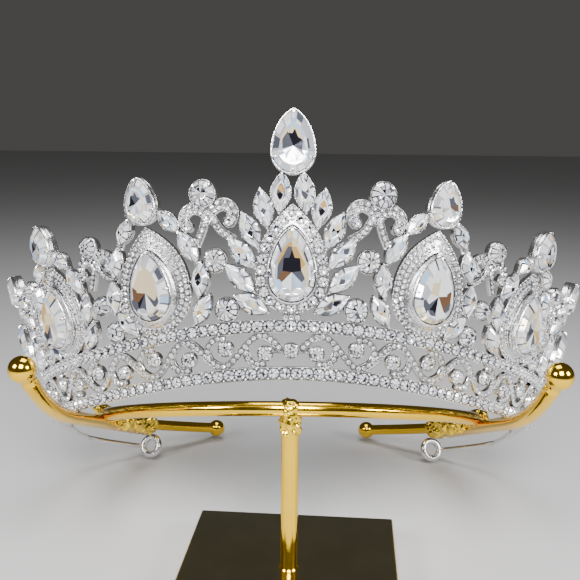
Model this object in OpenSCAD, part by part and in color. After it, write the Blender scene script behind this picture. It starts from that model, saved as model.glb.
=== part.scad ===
// Crystal tiara with seven pear-stone crests, resting on its display stand.
// Millimetres, +Z up, the front faces -Y. The origin is the middle of the base plate's underside.

/* [Tiara] */
// Radius of the head band at its lower edge
base_r = 72.5; // [68:0.5:78]
// Outward lean of the wall from upright, in degrees
flare = 21; // [16:1:26]
// How far the lower edge drops between its front and its sides
arch_drop = 2.7; // [0:0.1:4]
// Half angle that the jewelled band covers
band_half = 96; // [90:1:100]
// Thickness of the cast metal
metal_t = 1.6; // [1.4:0.1:2]
// Width of the two stone-set rails
rail_w = 3.1; // [2.6:0.1:3.6]
// Clear height of the scroll gallery between the rails
gallery_h = 8; // [7:0.5:9]
// Distance between two scrolls of the gallery
scroll_pitch = 9.1; // [8.5:0.1:10]
// Angle between neighbouring crests
crest_step = 24.2; // [24:0.1:25]
// Tilt of the tiara on its stand, front up
tiara_tilt = 32; // [28:1:36]

/* [Stones] */
// Air between a stone's back and its setting
stone_gap = 0.2; // [0.15:0.01:0.3]
// Metal rim that shows round a stone
rim = 0.45; // [0.3:0.05:0.7]
// Width of a table, as a share of its stone
table_share = 0.56; // [0.4:0.02:0.7]

/* [Stand] */
// Side of the square base plate
plate_w = 56; // [50:1:70]
// Thickness of the base plate
plate_t = 8; // [5:1:12]
// Turn of the base plate about the post
plate_turn = -4; // [-10:1:10]
// Diameter of the post
post_d = 4.4; // [4:0.1:6]
// Height of the ring's front above the base plate
ring_rise = 43; // [38:1:48]
// Radius of the open ring, to the middle of its rod
ring_r = 59.5; // [56:0.5:62]
// Slope of the ring, front up
ring_tilt = 24.5; // [20:0.5:28]
// Half of the ring's rear opening, in degrees
ring_open = 29; // [20:1:40]
// Diameter of the ring and arm rods
rod_d = 3.8; // [3.4:0.1:4.2]
// Diameter of the end balls
ball_d = 6.2; // [5:0.1:7]

/* [Hidden] */

// Smoothness of round metal, and the sides of the small stones
$fn = 64;
round_sides = 8;

// Levels up the wall, measured along its slope from the lower edge
gallery_v = rail_w;
rail_top_v = rail_w + gallery_h;
crest_v = rail_top_v + rail_w;
// The band's lower edge is lowest at this angle
drop_angle = 46;

// Where the tiara's middle stands over the origin
tiara_y = 53;
tiara_z = plate_t + 14.9;

// Crests: [name, angle, size share of the side crest, 1 for the tall middle one]
crests = [
    ["c", 0, 1, 1], ["l1", -crest_step, 1, 0], ["r1", crest_step, 1, 0],
    ["l2", -2 * crest_step, 0.96, 0], ["r2", 2 * crest_step, 0.96, 0],
    ["l3", -3 * crest_step, 0.86, 0], ["r3", 3 * crest_step, 0.86, 0]];

// Marquise stones: [across, up, outward lean, length, width]
center_leaves = [
    [2.8, 43.8, -5, 9.6, 4.8], [6.8, 40.2, 10, 9.4, 4.7], [9.9, 35.2, 23, 9.4, 4.7],
    [11.8, 30, 40, 9.6, 4.7], [12.2, 24.2, 45, 9.6, 4.7], [9.4, 18, 62, 9, 4.6]];
inner_leaves = [[6.3, 40, -42, 7.3, 4], [10.6, 33, -29, 9, 4.4], [12.5, 24.9, 8, 8.4, 4.4], [12, 17.7, 33, 8.2, 4.3]];
outer_leaves = [[6.2, 39.9, -36, 7, 4], [9.8, 33.1, -22, 7.9, 4.3], [11.8, 25.1, -4, 8.4, 4.4], [8.6, 17.8, 40, 8, 4.2]];

// Gaps between crests: [name, side, top stone's angle and height, middle stone's, low stone's, scroll size]
gaps = [
    ["l1", -1, 13.9, 45, 12.55, 28.9, 11.1, 17.1, 1], ["r1", 1, 13.9, 45, 12.55, 28.9, 11.1, 17.1, 1],
    ["l2", -1, 36.4, 39, 35.7, 23.8, 33.6, 16.6, 0.86], ["r2", 1, 36.4, 39, 35.7, 23.8, 33.6, 16.6, 0.86],
    ["l3", -1, 59.9, 36.5, 59.4, 23.6, 57.3, 16.4, 0.78], ["r3", 1, 59.9, 36.5, 59.4, 23.6, 57.3, 16.4, 0.78]];
top_round_d = 6.1;
mid_round_d = 5.3;
low_round_d = 5.4;

// Pear outlines: circle radius of the round end and height of the point above its middle
center_pear = [5.4, 11.8];
side_pear = [5.5, 10.8];
center_finial = [5, 9.6];
side_finial = [4, 7];
center_pear_v = 23.7;
side_pear_v = 22.6;
center_finial_v = 53.2;
side_finial_v = 44.6;
// Stone-set halos round the pears: half width, height of the point, depth below the middle
center_halo = [8.6, 17.6, 8.2];
side_halo = [9.7, 17.2, 8.8];
// Fullness of the halos' shoulders, and half the sides of every pear outline
halo_taper = 1.4;
pear_sides = 6;
// How far the halo lies behind the leaves that overlap it, and the height of the cup wall round its pear stone
halo_sink = 0.35;
cup_wall_h = 0.8;
// How far the pear and finial stones are raised on bosses
center_pear_rise = 0.9;
side_pear_rise = 1.8;
finial_rise = 1;

function clamp_angle(t) = min(abs(t), 2 * drop_angle);
function drop(t) = -arch_drop * pow(sin(90 * clamp_angle(t) / drop_angle), 2);
function wall_r(v) = base_r + v * sin(flare);
// A point at angle t round the band, v up the slope, and out from the metal's front face
function on_wall(t, v, out) =
    let (r = wall_r(v) + out * cos(flare))
    [r * sin(t), -r * cos(t), v * cos(flare) + drop(t) - out * sin(flare)];
// Angle of a place u millimetres across from angle t at height v
function across(t, u, v) = t + u / wall_r(v) * 180 / PI;

// Outlines
function half_lens(x) = 1 - pow(x, 1.7);
function lens(l, w) = [
    for (k = [0:7]) let (x = [1, 0.55, 0, -0.55, -1, -0.55, 0, 0.55][k], s = k < 4 ? 1 : -1)
        [s * w / 2 * half_lens(abs(x)), x * l / 2]];
function leaf_plate(l, w) = let (x = w / 2 + rim / 2, y = l / 2 + 1.5 * rim)
    [[0, y], [x, 0.22 * l], [x, -0.22 * l], [0, -y], [-x, -0.22 * l], [-x, 0.22 * l]];
// A pear has a round end of radius r and a point h above its middle; low values of taper give it full shoulders
function pear(r, h, n, taper = 1.4) = [
    for (k = [0:2 * n - 1]) let (a = 180 / n * k)
        a <= 180 ? [-r * cos(a), -r * sin(a)] : [-r * sign(cos(a)) * pow(abs(cos(a)), taper), -h * sin(a)]];
function disc(d, n) = [for (k = [0:n - 1]) d / 2 * [cos(360 / n * (k + 0.5)), sin(360 / n * (k + 0.5))]];

// Places children flat against the wall at angle t and height v, turned in its plane
module on_band(t, v, turn = 0) {
    translate(on_wall(t, v, 0)) rotate([0, 0, t]) rotate([90 + flare, 0, 0]) rotate([0, 0, turn]) children();
}

// A faceted stone on its outline: flat foiled back, crown facets and a table
module cut_stone(outline, h) {
    n = len(outline);
    points = concat([for (p = outline) [p[0], p[1], stone_gap]],
        [for (p = outline) [p[0] * table_share, p[1] * table_share, stone_gap + h]]);
    hull() polyhedron(points, concat([[for (k = [0:n - 1]) k]],
        [for (k = [0:n - 1]) [k, k + n, (k + 1) % n + n, (k + 1) % n]],
        [[for (k = [n - 1:-1:0]) k + n]]));
}

// A flat metal plate behind a stone, with a rim showing round it
module seat_plate(outline) {
    translate([0, 0, -metal_t]) linear_extrude(metal_t) polygon(outline);
}

// A strip of metal swept along [angle, height] points on the wall
module wall_strip(path, w, back, front) {
    n = len(path);
    function side(i) = let (a = path[max(i - 1, 0)], b = path[min(i + 1, n - 1)], k = PI / 180 * wall_r(path[i][1]),
        d = [(b[0] - a[0]) * k, b[1] - a[1]], m = norm(d)) [-d[1] / m * w / 2 / k, d[0] / m * w / 2];
    points = [for (i = [0:n - 1]) let (p = path[i], s = side(i))
        each [on_wall(p[0] - s[0], p[1] - s[1], back), on_wall(p[0] + s[0], p[1] + s[1], back),
              on_wall(p[0] + s[0], p[1] + s[1], front), on_wall(p[0] - s[0], p[1] - s[1], front)]];
    faces = concat([[0, 1, 2, 3], [for (j = [3:-1:0]) 4 * (n - 1) + j]],
        [for (i = [0:n - 2], j = [0:3]) [4 * i + j, 4 * i + 4 + j, 4 * i + 4 + (j + 1) % 4, 4 * i + (j + 1) % 4]]);
    polyhedron(points, faces);
}

// Crest parts
function is_tall(c) = c[3] == 1;
function lift(c, v) = crest_v + (v - crest_v) * c[2];
function crest_pear(c) = is_tall(c) ? center_pear : side_pear * c[2];
function crest_pear_v(c) = lift(c, is_tall(c) ? center_pear_v : side_pear_v);
function pear_rise(c) = is_tall(c) ? center_pear_rise : side_pear_rise;
function crest_finial(c) = is_tall(c) ? center_finial : side_finial * c[2];
function crest_finial_v(c) = lift(c, is_tall(c) ? center_finial_v : side_finial_v);
// The side of a crest that faces the middle has wider leaves: [across, up, lean, length, width] for both sides
function crest_leaves(c) =
    let (inward = c[1] > 0 ? -1 : 1,
        rows = is_tall(c) ? [center_leaves, center_leaves] : [inner_leaves, outer_leaves])
    [for (k = [0, 1], row = rows[k]) let (s = k == 0 ? inward : -inward)
        [s * row[0] * c[2], lift(c, row[1]), s * row[2], row[3] * c[2], row[4] * c[2]]];

// A stem behind the leaves of one side, down from the finial's seat
module leaf_stem(c, leaves) {
    places = concat([[0, crest_finial_v(c)]], [for (leaf = leaves) [leaf[0], leaf[1]]]);
    wall_strip([for (p = places) [across(c[1], p[0], p[1]), p[1]]], 1.4, 0.3 - metal_t, -0.5);
}

module crest_metal(c) {
    pear_v = crest_pear_v(c);
    halo = is_tall(c) ? center_halo : side_halo * c[2];
    shape = crest_pear(c);
    finial = crest_finial(c);
    leaves = crest_leaves(c);
    on_band(c[1], pear_v) translate([0, 0, -halo_sink]) {
        seat_plate([for (p = pear(1, 1, pear_sides, halo_taper)) [p[0] * halo[0], p[1] * (p[1] > 0 ? halo[1] : halo[2])]]);
        cup = pear(shape[0] + rim + 0.3, shape[1] + 2.4 * rim, pear_sides);
        translate([0, 0, -0.1]) linear_extrude(pear_rise(c) + 0.1) polygon(cup);
        translate([0, 0, pear_rise(c)]) linear_extrude(cup_wall_h) difference() {
            polygon(cup);
            polygon(pear(shape[0] + 0.15, shape[1] + 0.4, pear_sides));
        }
    }
    on_band(c[1], crest_finial_v(c)) {
        seat_plate(pear(finial[0] + rim, finial[1] + 2 * rim, pear_sides));
        translate([0, 0, -0.1]) linear_extrude(finial_rise + 0.1)
            polygon([for (p = pear(finial[0], finial[1], pear_sides)) p * 0.96]);
    }
    for (leaf = leaves)
        on_band(across(c[1], leaf[0], leaf[1]), leaf[1], -leaf[2]) seat_plate(leaf_plate(leaf[3], leaf[4]));
    half = len(leaves) / 2;
    if (!is_tall(c)) for (first = [0, half]) leaf_stem(c, [for (k = [0:half - 1]) leaves[first + k]]);
    // The foot block on the upper rail
    wall_strip([[c[1], crest_v - 1], [c[1], pear_v - halo[2] + 1.5]], 4.4, 0.2 - metal_t, -0.3);
}

// The scrolled lyre and the three round seats between two crests
module gap_metal(g) {
    s = g[1];
    k = g[8];
    lyre_t = s * (g[2] - 0.5 * k);
    lyre_v = g[3] - 5.6 * k;
    w = 3 * k;
    // Points of a scroll and of the legs: [across, up] from the lyre's waist
    curl = [[-0.3, -1], [1.3, 1.6], [4, 2.5], [6.2, 0.9], [5.2, -1.6]];
    outer_leg = [[0.2, 0.6], [1.6, -2.6], [3.4, -6.4]];
    inner_leg = [[-0.4, 0.6], [-2.8, -3.4], [-6, -6]];
    function spot(p, m) = let (v = lyre_v + p[1] * k) [across(lyre_t, m * s * p[0] * k, v), v];
    for (m = [-1, 1]) wall_strip([for (p = curl) spot(p, m)], w, 0.2 - metal_t, -0.2);
    for (leg = [outer_leg, inner_leg]) wall_strip([for (p = leg) spot(p, 1)], w * 0.7, 0.4 - metal_t, -0.4);
    seats = [[g[2], g[3], top_round_d], [g[4], g[5], mid_round_d], [g[6], g[7], low_round_d]];
    for (p = seats) on_band(s * p[0], p[1]) seat_plate(disc(p[2] * k + 2 * rim, round_sides));
}

// Gallery between the rails, made of half waves that each hold a curl and a round stone
wave_mid = gallery_v + gallery_h / 2;
wave_h = gallery_h / 2 - 0.6;
first_crest = 6.8;
half_waves = floor((band_half * PI / 180 * base_r - first_crest) / scroll_pitch);
gallery_stone_d = 3.4;
function gallery_t(u) = u / base_r * 180 / PI;
function curl_up(i) = i % 2 == 0 ? 1 : -1;
function stone_u(i) = first_crest + i * scroll_pitch - 1;
function stone_v(i) = wave_mid - curl_up(i) * 0.8;

module gallery(s) {
    steps = 4;
    wall_strip([for (i = [-2:half_waves * steps]) let (u = first_crest + i * scroll_pitch / steps)
        [s * gallery_t(u), wave_mid + wave_h * cos(180 * i / steps)]], 1.8, 0.2 - metal_t, -0.2);
    for (i = [0:half_waves - 1]) {
        u = first_crest + i * scroll_pitch;
        up = curl_up(i);
        wall_strip([for (a = [30:-40:-130]) [s * gallery_t(u + 0.5 + 3 * cos(a)), wave_mid + up * (3.05 * sin(a) - 0.3)]],
            1.7, 0.4 - metal_t, -0.4);
        on_band(s * gallery_t(stone_u(i)), stone_v(i)) seat_plate(disc(gallery_stone_d + rim, 6));
    }
}

// Hairpin loops on plain wire ends, and the wire's bend: [distance from the band's axis, angle, height]
wire_d = 1.6;
wire_bend = [73, 108, 1.2];
loop_r = 3.2;
loop_wire = 2.4;
loop_t = 125.5;
loop_dist = 62.7;
loop_z = 0.9;
loop_turn = 22;
module end_wire(s) {
    start = on_wall(s * (band_half - 1.5), 2.2, -metal_t / 2);
    loop_mid = [loop_dist * sin(s * loop_t), -loop_dist * cos(loop_t), loop_z];
    bend = [wire_bend[0] * sin(s * wire_bend[1]), -wire_bend[0] * cos(wire_bend[1]), wire_bend[2]];
    stops = [start, bend, loop_mid + loop_r * [s * cos(loop_turn), sin(loop_turn), 0]];
    for (k = [0:1]) hull() {
        translate(stops[k]) sphere(d = wire_d, $fn = 8);
        translate(stops[k + 1]) sphere(d = wire_d, $fn = 8);
    }
    translate(loop_mid) rotate([90, 0, s * loop_turn]) rotate_extrude($fn = 12)
        translate([loop_r, 0]) circle(d = loop_wire, $fn = 6);
}

module tiara_place() {
    translate([0, tiara_y, tiara_z]) rotate([-tiara_tilt, 0, 0]) children();
}

module tiara_frame() {
    rail_steps = 30;
    color("silver") tiara_place() union() {
        for (v = [rail_w / 2, rail_top_v + rail_w / 2])
            wall_strip([for (i = [0:rail_steps]) [band_half * (2 * i / rail_steps - 1), v]], rail_w, -metal_t, 0);
        for (s = [-1, 1]) {
            gallery(s);
            end_wire(s);
        }
        // Middle seat of the gallery and the links to its two neighbours
        on_band(0, wave_mid - 0.2) seat_plate(disc(gallery_stone_d + 2 * rim, round_sides));
        wall_strip([[-gallery_t(5.8), wave_mid - 0.2], [gallery_t(5.8), wave_mid - 0.2]], 1.3, -metal_t + 0.2, -0.3);
        for (c = crests) crest_metal(c);
        for (g = gaps) gap_metal(g);
    }
}

module gallery_stones() {
    color("white") tiara_place() {
        on_band(0, wave_mid - 0.2) cut_stone(disc(gallery_stone_d, round_sides), 1);
        for (s = [-1, 1], i = [0:half_waves - 1])
            on_band(s * gallery_t(stone_u(i)), stone_v(i)) cut_stone(disc(gallery_stone_d, round_sides), 1);
    }
}

module pear_stone(c) {
    shape = crest_pear(c);
    color("white") tiara_place() on_band(c[1], crest_pear_v(c)) translate([0, 0, pear_rise(c) - halo_sink])
        cut_stone(pear(shape[0], shape[1], pear_sides), 2.6);
}

module finial_stone(c) {
    shape = crest_finial(c);
    color("white") tiara_place() on_band(c[1], crest_finial_v(c)) translate([0, 0, finial_rise])
        cut_stone(pear(shape[0], shape[1], pear_sides), 2.2);
}

module marquise_stones(c) {
    color("white") tiara_place() for (leaf = crest_leaves(c))
        on_band(across(c[1], leaf[0], leaf[1]), leaf[1], -leaf[2]) cut_stone(lens(leaf[3], leaf[4]), 1.5);
}

module round_stone(g, which) {
    d = [top_round_d, mid_round_d, low_round_d][which] * g[8];
    color("white") tiara_place() on_band(g[1] * g[2 + 2 * which], g[3 + 2 * which]) cut_stone(disc(d, round_sides), 1.6);
}

module base_plate() {
    bevel = 0.6;
    color("goldenrod") rotate([0, 0, plate_turn]) difference() {
        translate([-plate_w / 2, -plate_w / 2, 0]) cube([plate_w, plate_w, plate_t]);
        for (a = [0:90:270]) rotate([0, 0, a]) translate([plate_w / 2, 0, plate_t]) rotate([0, 45, 0])
            cube([bevel * sqrt(2), plate_w + 2, bevel * sqrt(2)], center = true);
    }
}

// Sides of the rods and the balls
rod_sides = 16;
ball_sides = 20;

// An arm lies under the ring's side, parallel to it, then bends up in front to its ball
arm_rear = [51.3, 78];
arm_ball = [58.5, -21.3];
arm_rear_z = 5;
arm_straight = 80.4;
arm_bend_r = 65.5;
arm_bend = 24.5;
neck_l = 2.6;
// Braze that fills the sliver between the arm and the ring: [along the arm, out towards the ring, diameter]
braze = [[50, 1.2, 4.4], [38, 2.6, 5.8], [25, 3.2, 6.4], [12, 2.6, 6.2], [0, 0.8, 5.6]];
bend_steps = 5;

// The rod is swept through one ring at its rear end and one at each step of its bend
module arm_rod() {
    bends = [for (k = [0:bend_steps]) arm_bend * k / bend_steps];
    rings = concat([[0, 0, 0]], [for (a = bends) [-arm_straight - arm_bend_r * sin(a), arm_bend_r * (1 - cos(a)), a]]);
    n = rod_sides;
    points = [for (r = rings, k = [0:n - 1]) let (q = 360 / n * k, up = rod_d / 2 * sin(q))
        [rod_d / 2 * cos(q), r[0] + up * sin(r[2]), r[1] + up * cos(r[2])]];
    last = n * (len(rings) - 1);
    polyhedron(points, concat([[for (k = [0:n - 1]) k]], [[for (k = [n - 1:-1:0]) last + k]],
        [for (i = [0:len(rings) - 2], k = [0:n - 1]) let (a = n * i + k, b = n * i + (k + 1) % n) [a, a + n, b + n, b]]));
}

module arm(s) {
    heading = atan2(s * (arm_ball[0] - arm_rear[0]), arm_rear[1] - arm_ball[1]);
    translate([s * arm_rear[0], arm_rear[1], plate_t + arm_rear_z]) rotate([0, 0, heading]) rotate([-ring_tilt, 0, 0]) {
        arm_rod();
        translate([0, -arm_straight - arm_bend_r * sin(arm_bend), arm_bend_r * (1 - cos(arm_bend))])
            rotate([-arm_bend, 0, 0]) rotate([90, 0, 0]) {
                translate([0, 0, -0.5]) cylinder(d = rod_d * 0.74, h = neck_l + 1.5, $fn = rod_sides);
                translate([0, 0, neck_l + ball_d / 2]) sphere(d = ball_d, $fn = ball_sides);
            }
        for (k = [0:len(braze) - 2]) hull() for (b = [braze[k], braze[k + 1]])
            translate([s * b[1], -b[0], 1.2]) rotate([0, 20, 10]) sphere(d = b[2], $fn = 14);
    }
}

module stand_frame() {
    post_top = plate_t + ring_rise + rod_d / 2 + 0.4;
    cap_d = 5.6;
    cap_h = 6.5;
    color("gold") union() {
        translate([0, 0, plate_t]) cylinder(d = post_d, h = ring_rise, $fn = ball_sides);
        translate([0, 0, post_top - cap_h]) cylinder(d = cap_d, h = cap_h - cap_d / 2, $fn = ball_sides);
        translate([0, 0, post_top - cap_d / 2]) sphere(d = cap_d, $fn = ball_sides);
        translate([0, 0, plate_t + ring_rise]) rotate([-ring_tilt, 0, 0]) translate([0, ring_r, 0]) {
            rotate([0, 0, 90 + ring_open]) rotate_extrude(angle = 360 - 2 * ring_open, $fn = 72)
                translate([ring_r, 0]) circle(d = rod_d, $fn = rod_sides);
            for (s = [-1, 1]) rotate([0, 0, 90 + s * ring_open]) translate([ring_r, 0, 0])
                sphere(d = ball_d, $fn = ball_sides);
        }
        for (s = [-1, 1]) arm(s);
    }
}

base_plate();
stand_frame();
tiara_frame();
gallery_stones();
for (c = crests) {
    pear_stone(c);
    finial_stone(c);
    marquise_stones(c);
}
for (g = gaps) {
    round_stone(g, 0);
    round_stone(g, 1);
    round_stone(g, 2);
}
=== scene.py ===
"""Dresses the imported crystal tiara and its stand: settings, cut stones, gold stand, light and camera."""

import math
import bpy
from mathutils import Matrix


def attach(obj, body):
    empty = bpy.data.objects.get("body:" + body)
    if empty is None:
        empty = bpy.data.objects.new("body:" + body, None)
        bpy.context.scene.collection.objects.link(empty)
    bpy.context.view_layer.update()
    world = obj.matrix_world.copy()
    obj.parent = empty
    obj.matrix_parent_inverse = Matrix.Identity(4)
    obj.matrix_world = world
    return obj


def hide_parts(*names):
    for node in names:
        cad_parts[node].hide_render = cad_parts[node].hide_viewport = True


bl_info = {
    "name": "Crystal Tiara on Stand",
    "version": (1, 0, 0),
    "blender": (4, 5, 0),
    "location": "View3D > Sidebar > Tiara",
    "description": "Builds the settings, cut stones and gold stand of a crystal tiara",
    "category": "Object",
}

from collections import namedtuple

import bpy
import numpy as np
from bpy.props import FloatProperty, FloatVectorProperty, IntProperty, PointerProperty
from mathutils import Matrix, Vector

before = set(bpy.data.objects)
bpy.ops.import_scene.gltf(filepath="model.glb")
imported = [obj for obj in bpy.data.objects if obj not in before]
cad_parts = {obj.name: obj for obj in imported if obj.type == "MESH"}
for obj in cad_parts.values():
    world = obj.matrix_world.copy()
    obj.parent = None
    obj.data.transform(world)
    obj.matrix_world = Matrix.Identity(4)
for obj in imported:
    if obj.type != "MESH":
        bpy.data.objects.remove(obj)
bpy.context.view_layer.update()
MM = 0.001
BODY = "root"

CRESTS = ("c", "l1", "r1", "l2", "r2", "l3", "r3")
CREST_STEPS = {"c": 0, "l1": -1, "r1": 1, "l2": -2, "r2": 2, "l3": -3, "r3": 3}
CREST_SIZES = {0: 1.0, 1: 1.0, 2: 0.96, 3: 0.86}


def mm_value(name, text, default):
    return FloatProperty(name=name, description=text + ", in mm", default=default)


def degree_value(name, text, default):
    return FloatProperty(name=name, description=text + ", in degrees", default=default)


def mm_point(name, text, default):
    return FloatVectorProperty(name=name, description=text + ", in mm", default=default)


def color_value(name, text, default):
    return FloatVectorProperty(name=name, description=text, subtype="COLOR", size=3, default=default)


class TiaraSizes(bpy.types.PropertyGroup):
    """Sizes of the tiara in millimetres and degrees"""

    base_r: mm_value("Band radius", "Radius of the lower edge", 72.5)
    flare: degree_value("Flare", "Outward lean of the wall", 21)
    arch_drop: mm_value("Arch drop", "Drop of the lower edge towards the sides", 2.7)
    drop_angle: FloatProperty(name="Drop angle", description="Angle at which the edge is lowest", default=46)
    band_half: FloatProperty(
        name="Band half angle", description="Half angle of the jewelled band", default=96)
    metal_t: mm_value("Metal", "Thickness of the cast metal", 1.6)
    rail_w: mm_value("Rail width", "Width of a stone-set rail", 3.1)
    gallery_h: mm_value("Gallery height", "Clear height between the rails", 8)
    scroll_pitch: mm_value("Scroll pitch", "Distance between gallery scrolls", 9.1)
    crest_step: FloatProperty(
        name="Crest step", description="Angle between neighbouring crests", default=24.2)
    tilt: degree_value("Tilt", "Tilt of the tiara on its stand, front up", 32)
    place: mm_point("Place", "Middle of the band over the base", (0, 53, 22.9))
    halo_sink: mm_value("Halo sink", "How far the halos lie behind the leaves", 0.35)


class StoneLooks(bpy.types.PropertyGroup):
    """Sizes of the cut stones and the tones of their facets' painted reflections"""

    # Tones of the painted reflections, light and dark, that the facets show
    clear: color_value("Clear", "Bright facets", (0.93, 0.94, 0.97))
    pearl: color_value("Pearl", "Light grey facets", (0.5, 0.52, 0.57))
    slate: color_value("Slate", "Half dark facets", (0.09, 0.095, 0.12))
    night: color_value("Night", "Dark facets", (0.012, 0.012, 0.018))
    amber: color_value("Amber", "Warm facets", (0.55, 0.34, 0.12))
    umber: color_value("Umber", "Dark warm facets", (0.15, 0.08, 0.045))
    straw: color_value("Straw", "Pale warm facets", (0.78, 0.66, 0.42))
    sky: color_value("Sky", "Pale blue facets", (0.45, 0.66, 0.92))
    rail_stone: mm_value("Rail stones", "Diameter of the stones on the rails", 2.6)
    ribbon_stone: mm_value("Ribbon stones", "Diameter of the stones on the scrolls", 1.2)
    seed: IntProperty(name="Seed", description="Start of the facet colours", default=7)


class StandSizes(bpy.types.PropertyGroup):
    """Sizes of the stand in millimetres and degrees"""

    plate_w: mm_value("Plate width", "Side of the base plate", 56)
    plate_t: mm_value("Plate thickness", "Thickness of the base plate", 8)
    plate_turn: degree_value("Plate turn", "Turn of the base plate", -4)
    post_d: mm_value("Post", "Diameter of the post", 4.4)
    ring_rise: mm_value("Ring rise", "Height of the ring's front over the plate", 43)
    ring_r: mm_value("Ring radius", "Radius of the ring", 59.5)
    ring_tilt: degree_value("Ring tilt", "Slope of the ring", 24.5)
    ring_open: degree_value("Ring opening", "Half of the rear opening", 29)
    rod_d: mm_value("Rod", "Diameter of the rods", 3.8)
    ball_d: mm_value("Ball", "Diameter of the end balls", 6.2)


class StageLooks(bpy.types.PropertyGroup):
    """Camera and floor"""

    camera_place: mm_point("Camera", "Place of the camera", (0.8, -184.2, 120.2))
    camera_pitch: degree_value("Pitch", "Downward pitch", 12.0)
    camera_yaw: degree_value("Yaw", "Turn to the left", 0.38)
    camera_roll: degree_value("Roll", "Roll about the view axis", 0.61)
    focal_px: FloatProperty(
        name="Focal length", description="Focal length in pixels of a 580-pixel frame", default=787)
    floor_color: color_value("Floor", "Colour of the floor", (0.6, 0.6, 0.61))


SETTINGS = {"tiara_sizes": TiaraSizes, "tiara_stones": StoneLooks, "tiara_stand": StandSizes,
            "tiara_stage": StageLooks}


def sizes():
    return bpy.context.scene.tiara_sizes


def stone_looks():
    return bpy.context.scene.tiara_stones


def stand_sizes():
    return bpy.context.scene.tiara_stand


# Places on the tiara's wall

def rotation(degrees, axis):
    return Matrix.Rotation(math.radians(degrees), 4, axis)


def wall_r(v):
    s = sizes()
    return s.base_r + v * math.sin(math.radians(s.flare))


def drop(t):
    s = sizes()
    angle = min(abs(t), 2 * s.drop_angle)
    return -s.arch_drop * math.sin(math.radians(90 * angle / s.drop_angle)) ** 2


def on_wall(t, v, out=0.0):
    """Point at angle t round the band, v up the slope and out from the metal's front face."""
    f = math.radians(sizes().flare)
    r = wall_r(v) + out * math.cos(f)
    a = math.radians(t)
    return Vector((r * math.sin(a), -r * math.cos(a), v * math.cos(f) + drop(t) - out * math.sin(f)))


def across(t, u, v):
    """The angle that lies u across from angle t at height v."""
    return t + math.degrees(u / wall_r(v))


def tiara_place():
    s = sizes()
    return Matrix.Scale(MM, 4) @ Matrix.Translation(s.place) @ rotation(-s.tilt, "X")


def seat_matrix(t, v, turn=0.0, out=0.0):
    """World frame of a seat: x across, y up the slope, z outwards, turned in its plane."""
    f = sizes().flare
    local = Matrix.Translation(on_wall(t, v)) @ rotation(t, "Z")
    local = local @ rotation(90 + f, "X") @ rotation(turn, "Z")
    return tiara_place() @ local @ Matrix.Translation((0, 0, out))


def wrap(piece, t=0.0):
    """Bends a flat piece, made in millimetres as (across, up, out), round the wall at angle t."""
    place = tiara_place()
    for vert in piece.data.vertices:
        u, v, out = vert.co
        vert.co = place @ on_wall(across(t, u, v), v, out)
    return piece


# Modelling

def deselect():
    if bpy.context.object and bpy.context.object.mode != "OBJECT":
        bpy.ops.object.mode_set(mode="OBJECT")
    bpy.ops.object.select_all(action="DESELECT")


def only(piece):
    deselect()
    piece.select_set(True)
    bpy.context.view_layer.objects.active = piece


def ring_order(points, targets):
    """For each point, the number of the nearest target."""
    gaps = np.linalg.norm(np.array(points)[:, None] - np.array(targets)[None], axis=2)
    return gaps.argmin(axis=1)


def named(piece, name):
    piece.name = name
    piece.data.name = name
    return piece


def loft(name, rings, poke=None):
    """Extrudes a filled circle through rings of points; poke raises a fan on the last face."""
    deselect()
    bpy.ops.mesh.primitive_circle_add(vertices=len(rings[0]), radius=1, fill_type="NGON")
    piece = named(bpy.context.object, name)
    for vert, point in zip(piece.data.vertices, rings[0]):
        vert.co = point
    bpy.ops.object.mode_set(mode="EDIT")
    bpy.ops.mesh.select_mode(type="FACE")
    bpy.ops.mesh.select_all(action="SELECT")
    rise = np.array((0, 0, 1.0))
    before = rings[0]
    for ring in rings[1:]:
        bpy.ops.mesh.extrude_region_move(TRANSFORM_OT_translate={"value": rise})
        bpy.ops.object.mode_set(mode="OBJECT")
        top = [vert for vert in piece.data.vertices if vert.select]
        for vert, k in zip(top, ring_order([vert.co for vert in top], np.array(before) + rise)):
            vert.co = ring[k]
        before = ring
        bpy.ops.object.mode_set(mode="EDIT")
    if poke is not None:
        bpy.ops.mesh.poke(offset=poke)
    bpy.ops.mesh.select_all(action="SELECT")
    bpy.ops.mesh.normals_make_consistent(inside=False)
    bpy.ops.object.mode_set(mode="OBJECT")
    return piece


def sweep(name, rings):
    """Rolls a grid into a tube through rings of points, closed where the last ring is the first."""
    deselect()
    around, along = len(rings[0]), len(rings)
    bpy.ops.mesh.primitive_grid_add(x_subdivisions=around, y_subdivisions=along - 1, size=1)
    piece = named(bpy.context.object, name)
    points = np.array([[*ring, ring[0]] for ring in rings], dtype=float)
    piece.data.vertices.foreach_set("co", points.reshape(-1))
    bpy.ops.object.mode_set(mode="EDIT")
    bpy.ops.mesh.select_all(action="SELECT")
    bpy.ops.mesh.remove_doubles(threshold=1e-4)
    bpy.ops.mesh.select_all(action="SELECT")
    bpy.ops.mesh.fill_holes(sides=0)
    bpy.ops.mesh.select_all(action="SELECT")
    bpy.ops.mesh.normals_make_consistent(inside=False)
    bpy.ops.object.mode_set(mode="OBJECT")
    return piece


def join(pieces, name):
    deselect()
    for piece in pieces:
        piece.select_set(True)
    bpy.context.view_layer.objects.active = pieces[0]
    if len(pieces) > 1:
        bpy.ops.object.join()
    return named(pieces[0], name)


def copies(master, places, name):
    """Copies the master to each place, each copy with its own mesh, and joins them into one piece."""
    made = []
    for place in places:
        mesh = master.data.copy()
        mesh.transform(place)
        copy = bpy.data.objects.new(name, mesh)
        bpy.context.collection.objects.link(copy)
        made.append(copy)
    bpy.data.objects.remove(master)
    return join(made, name)


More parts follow.
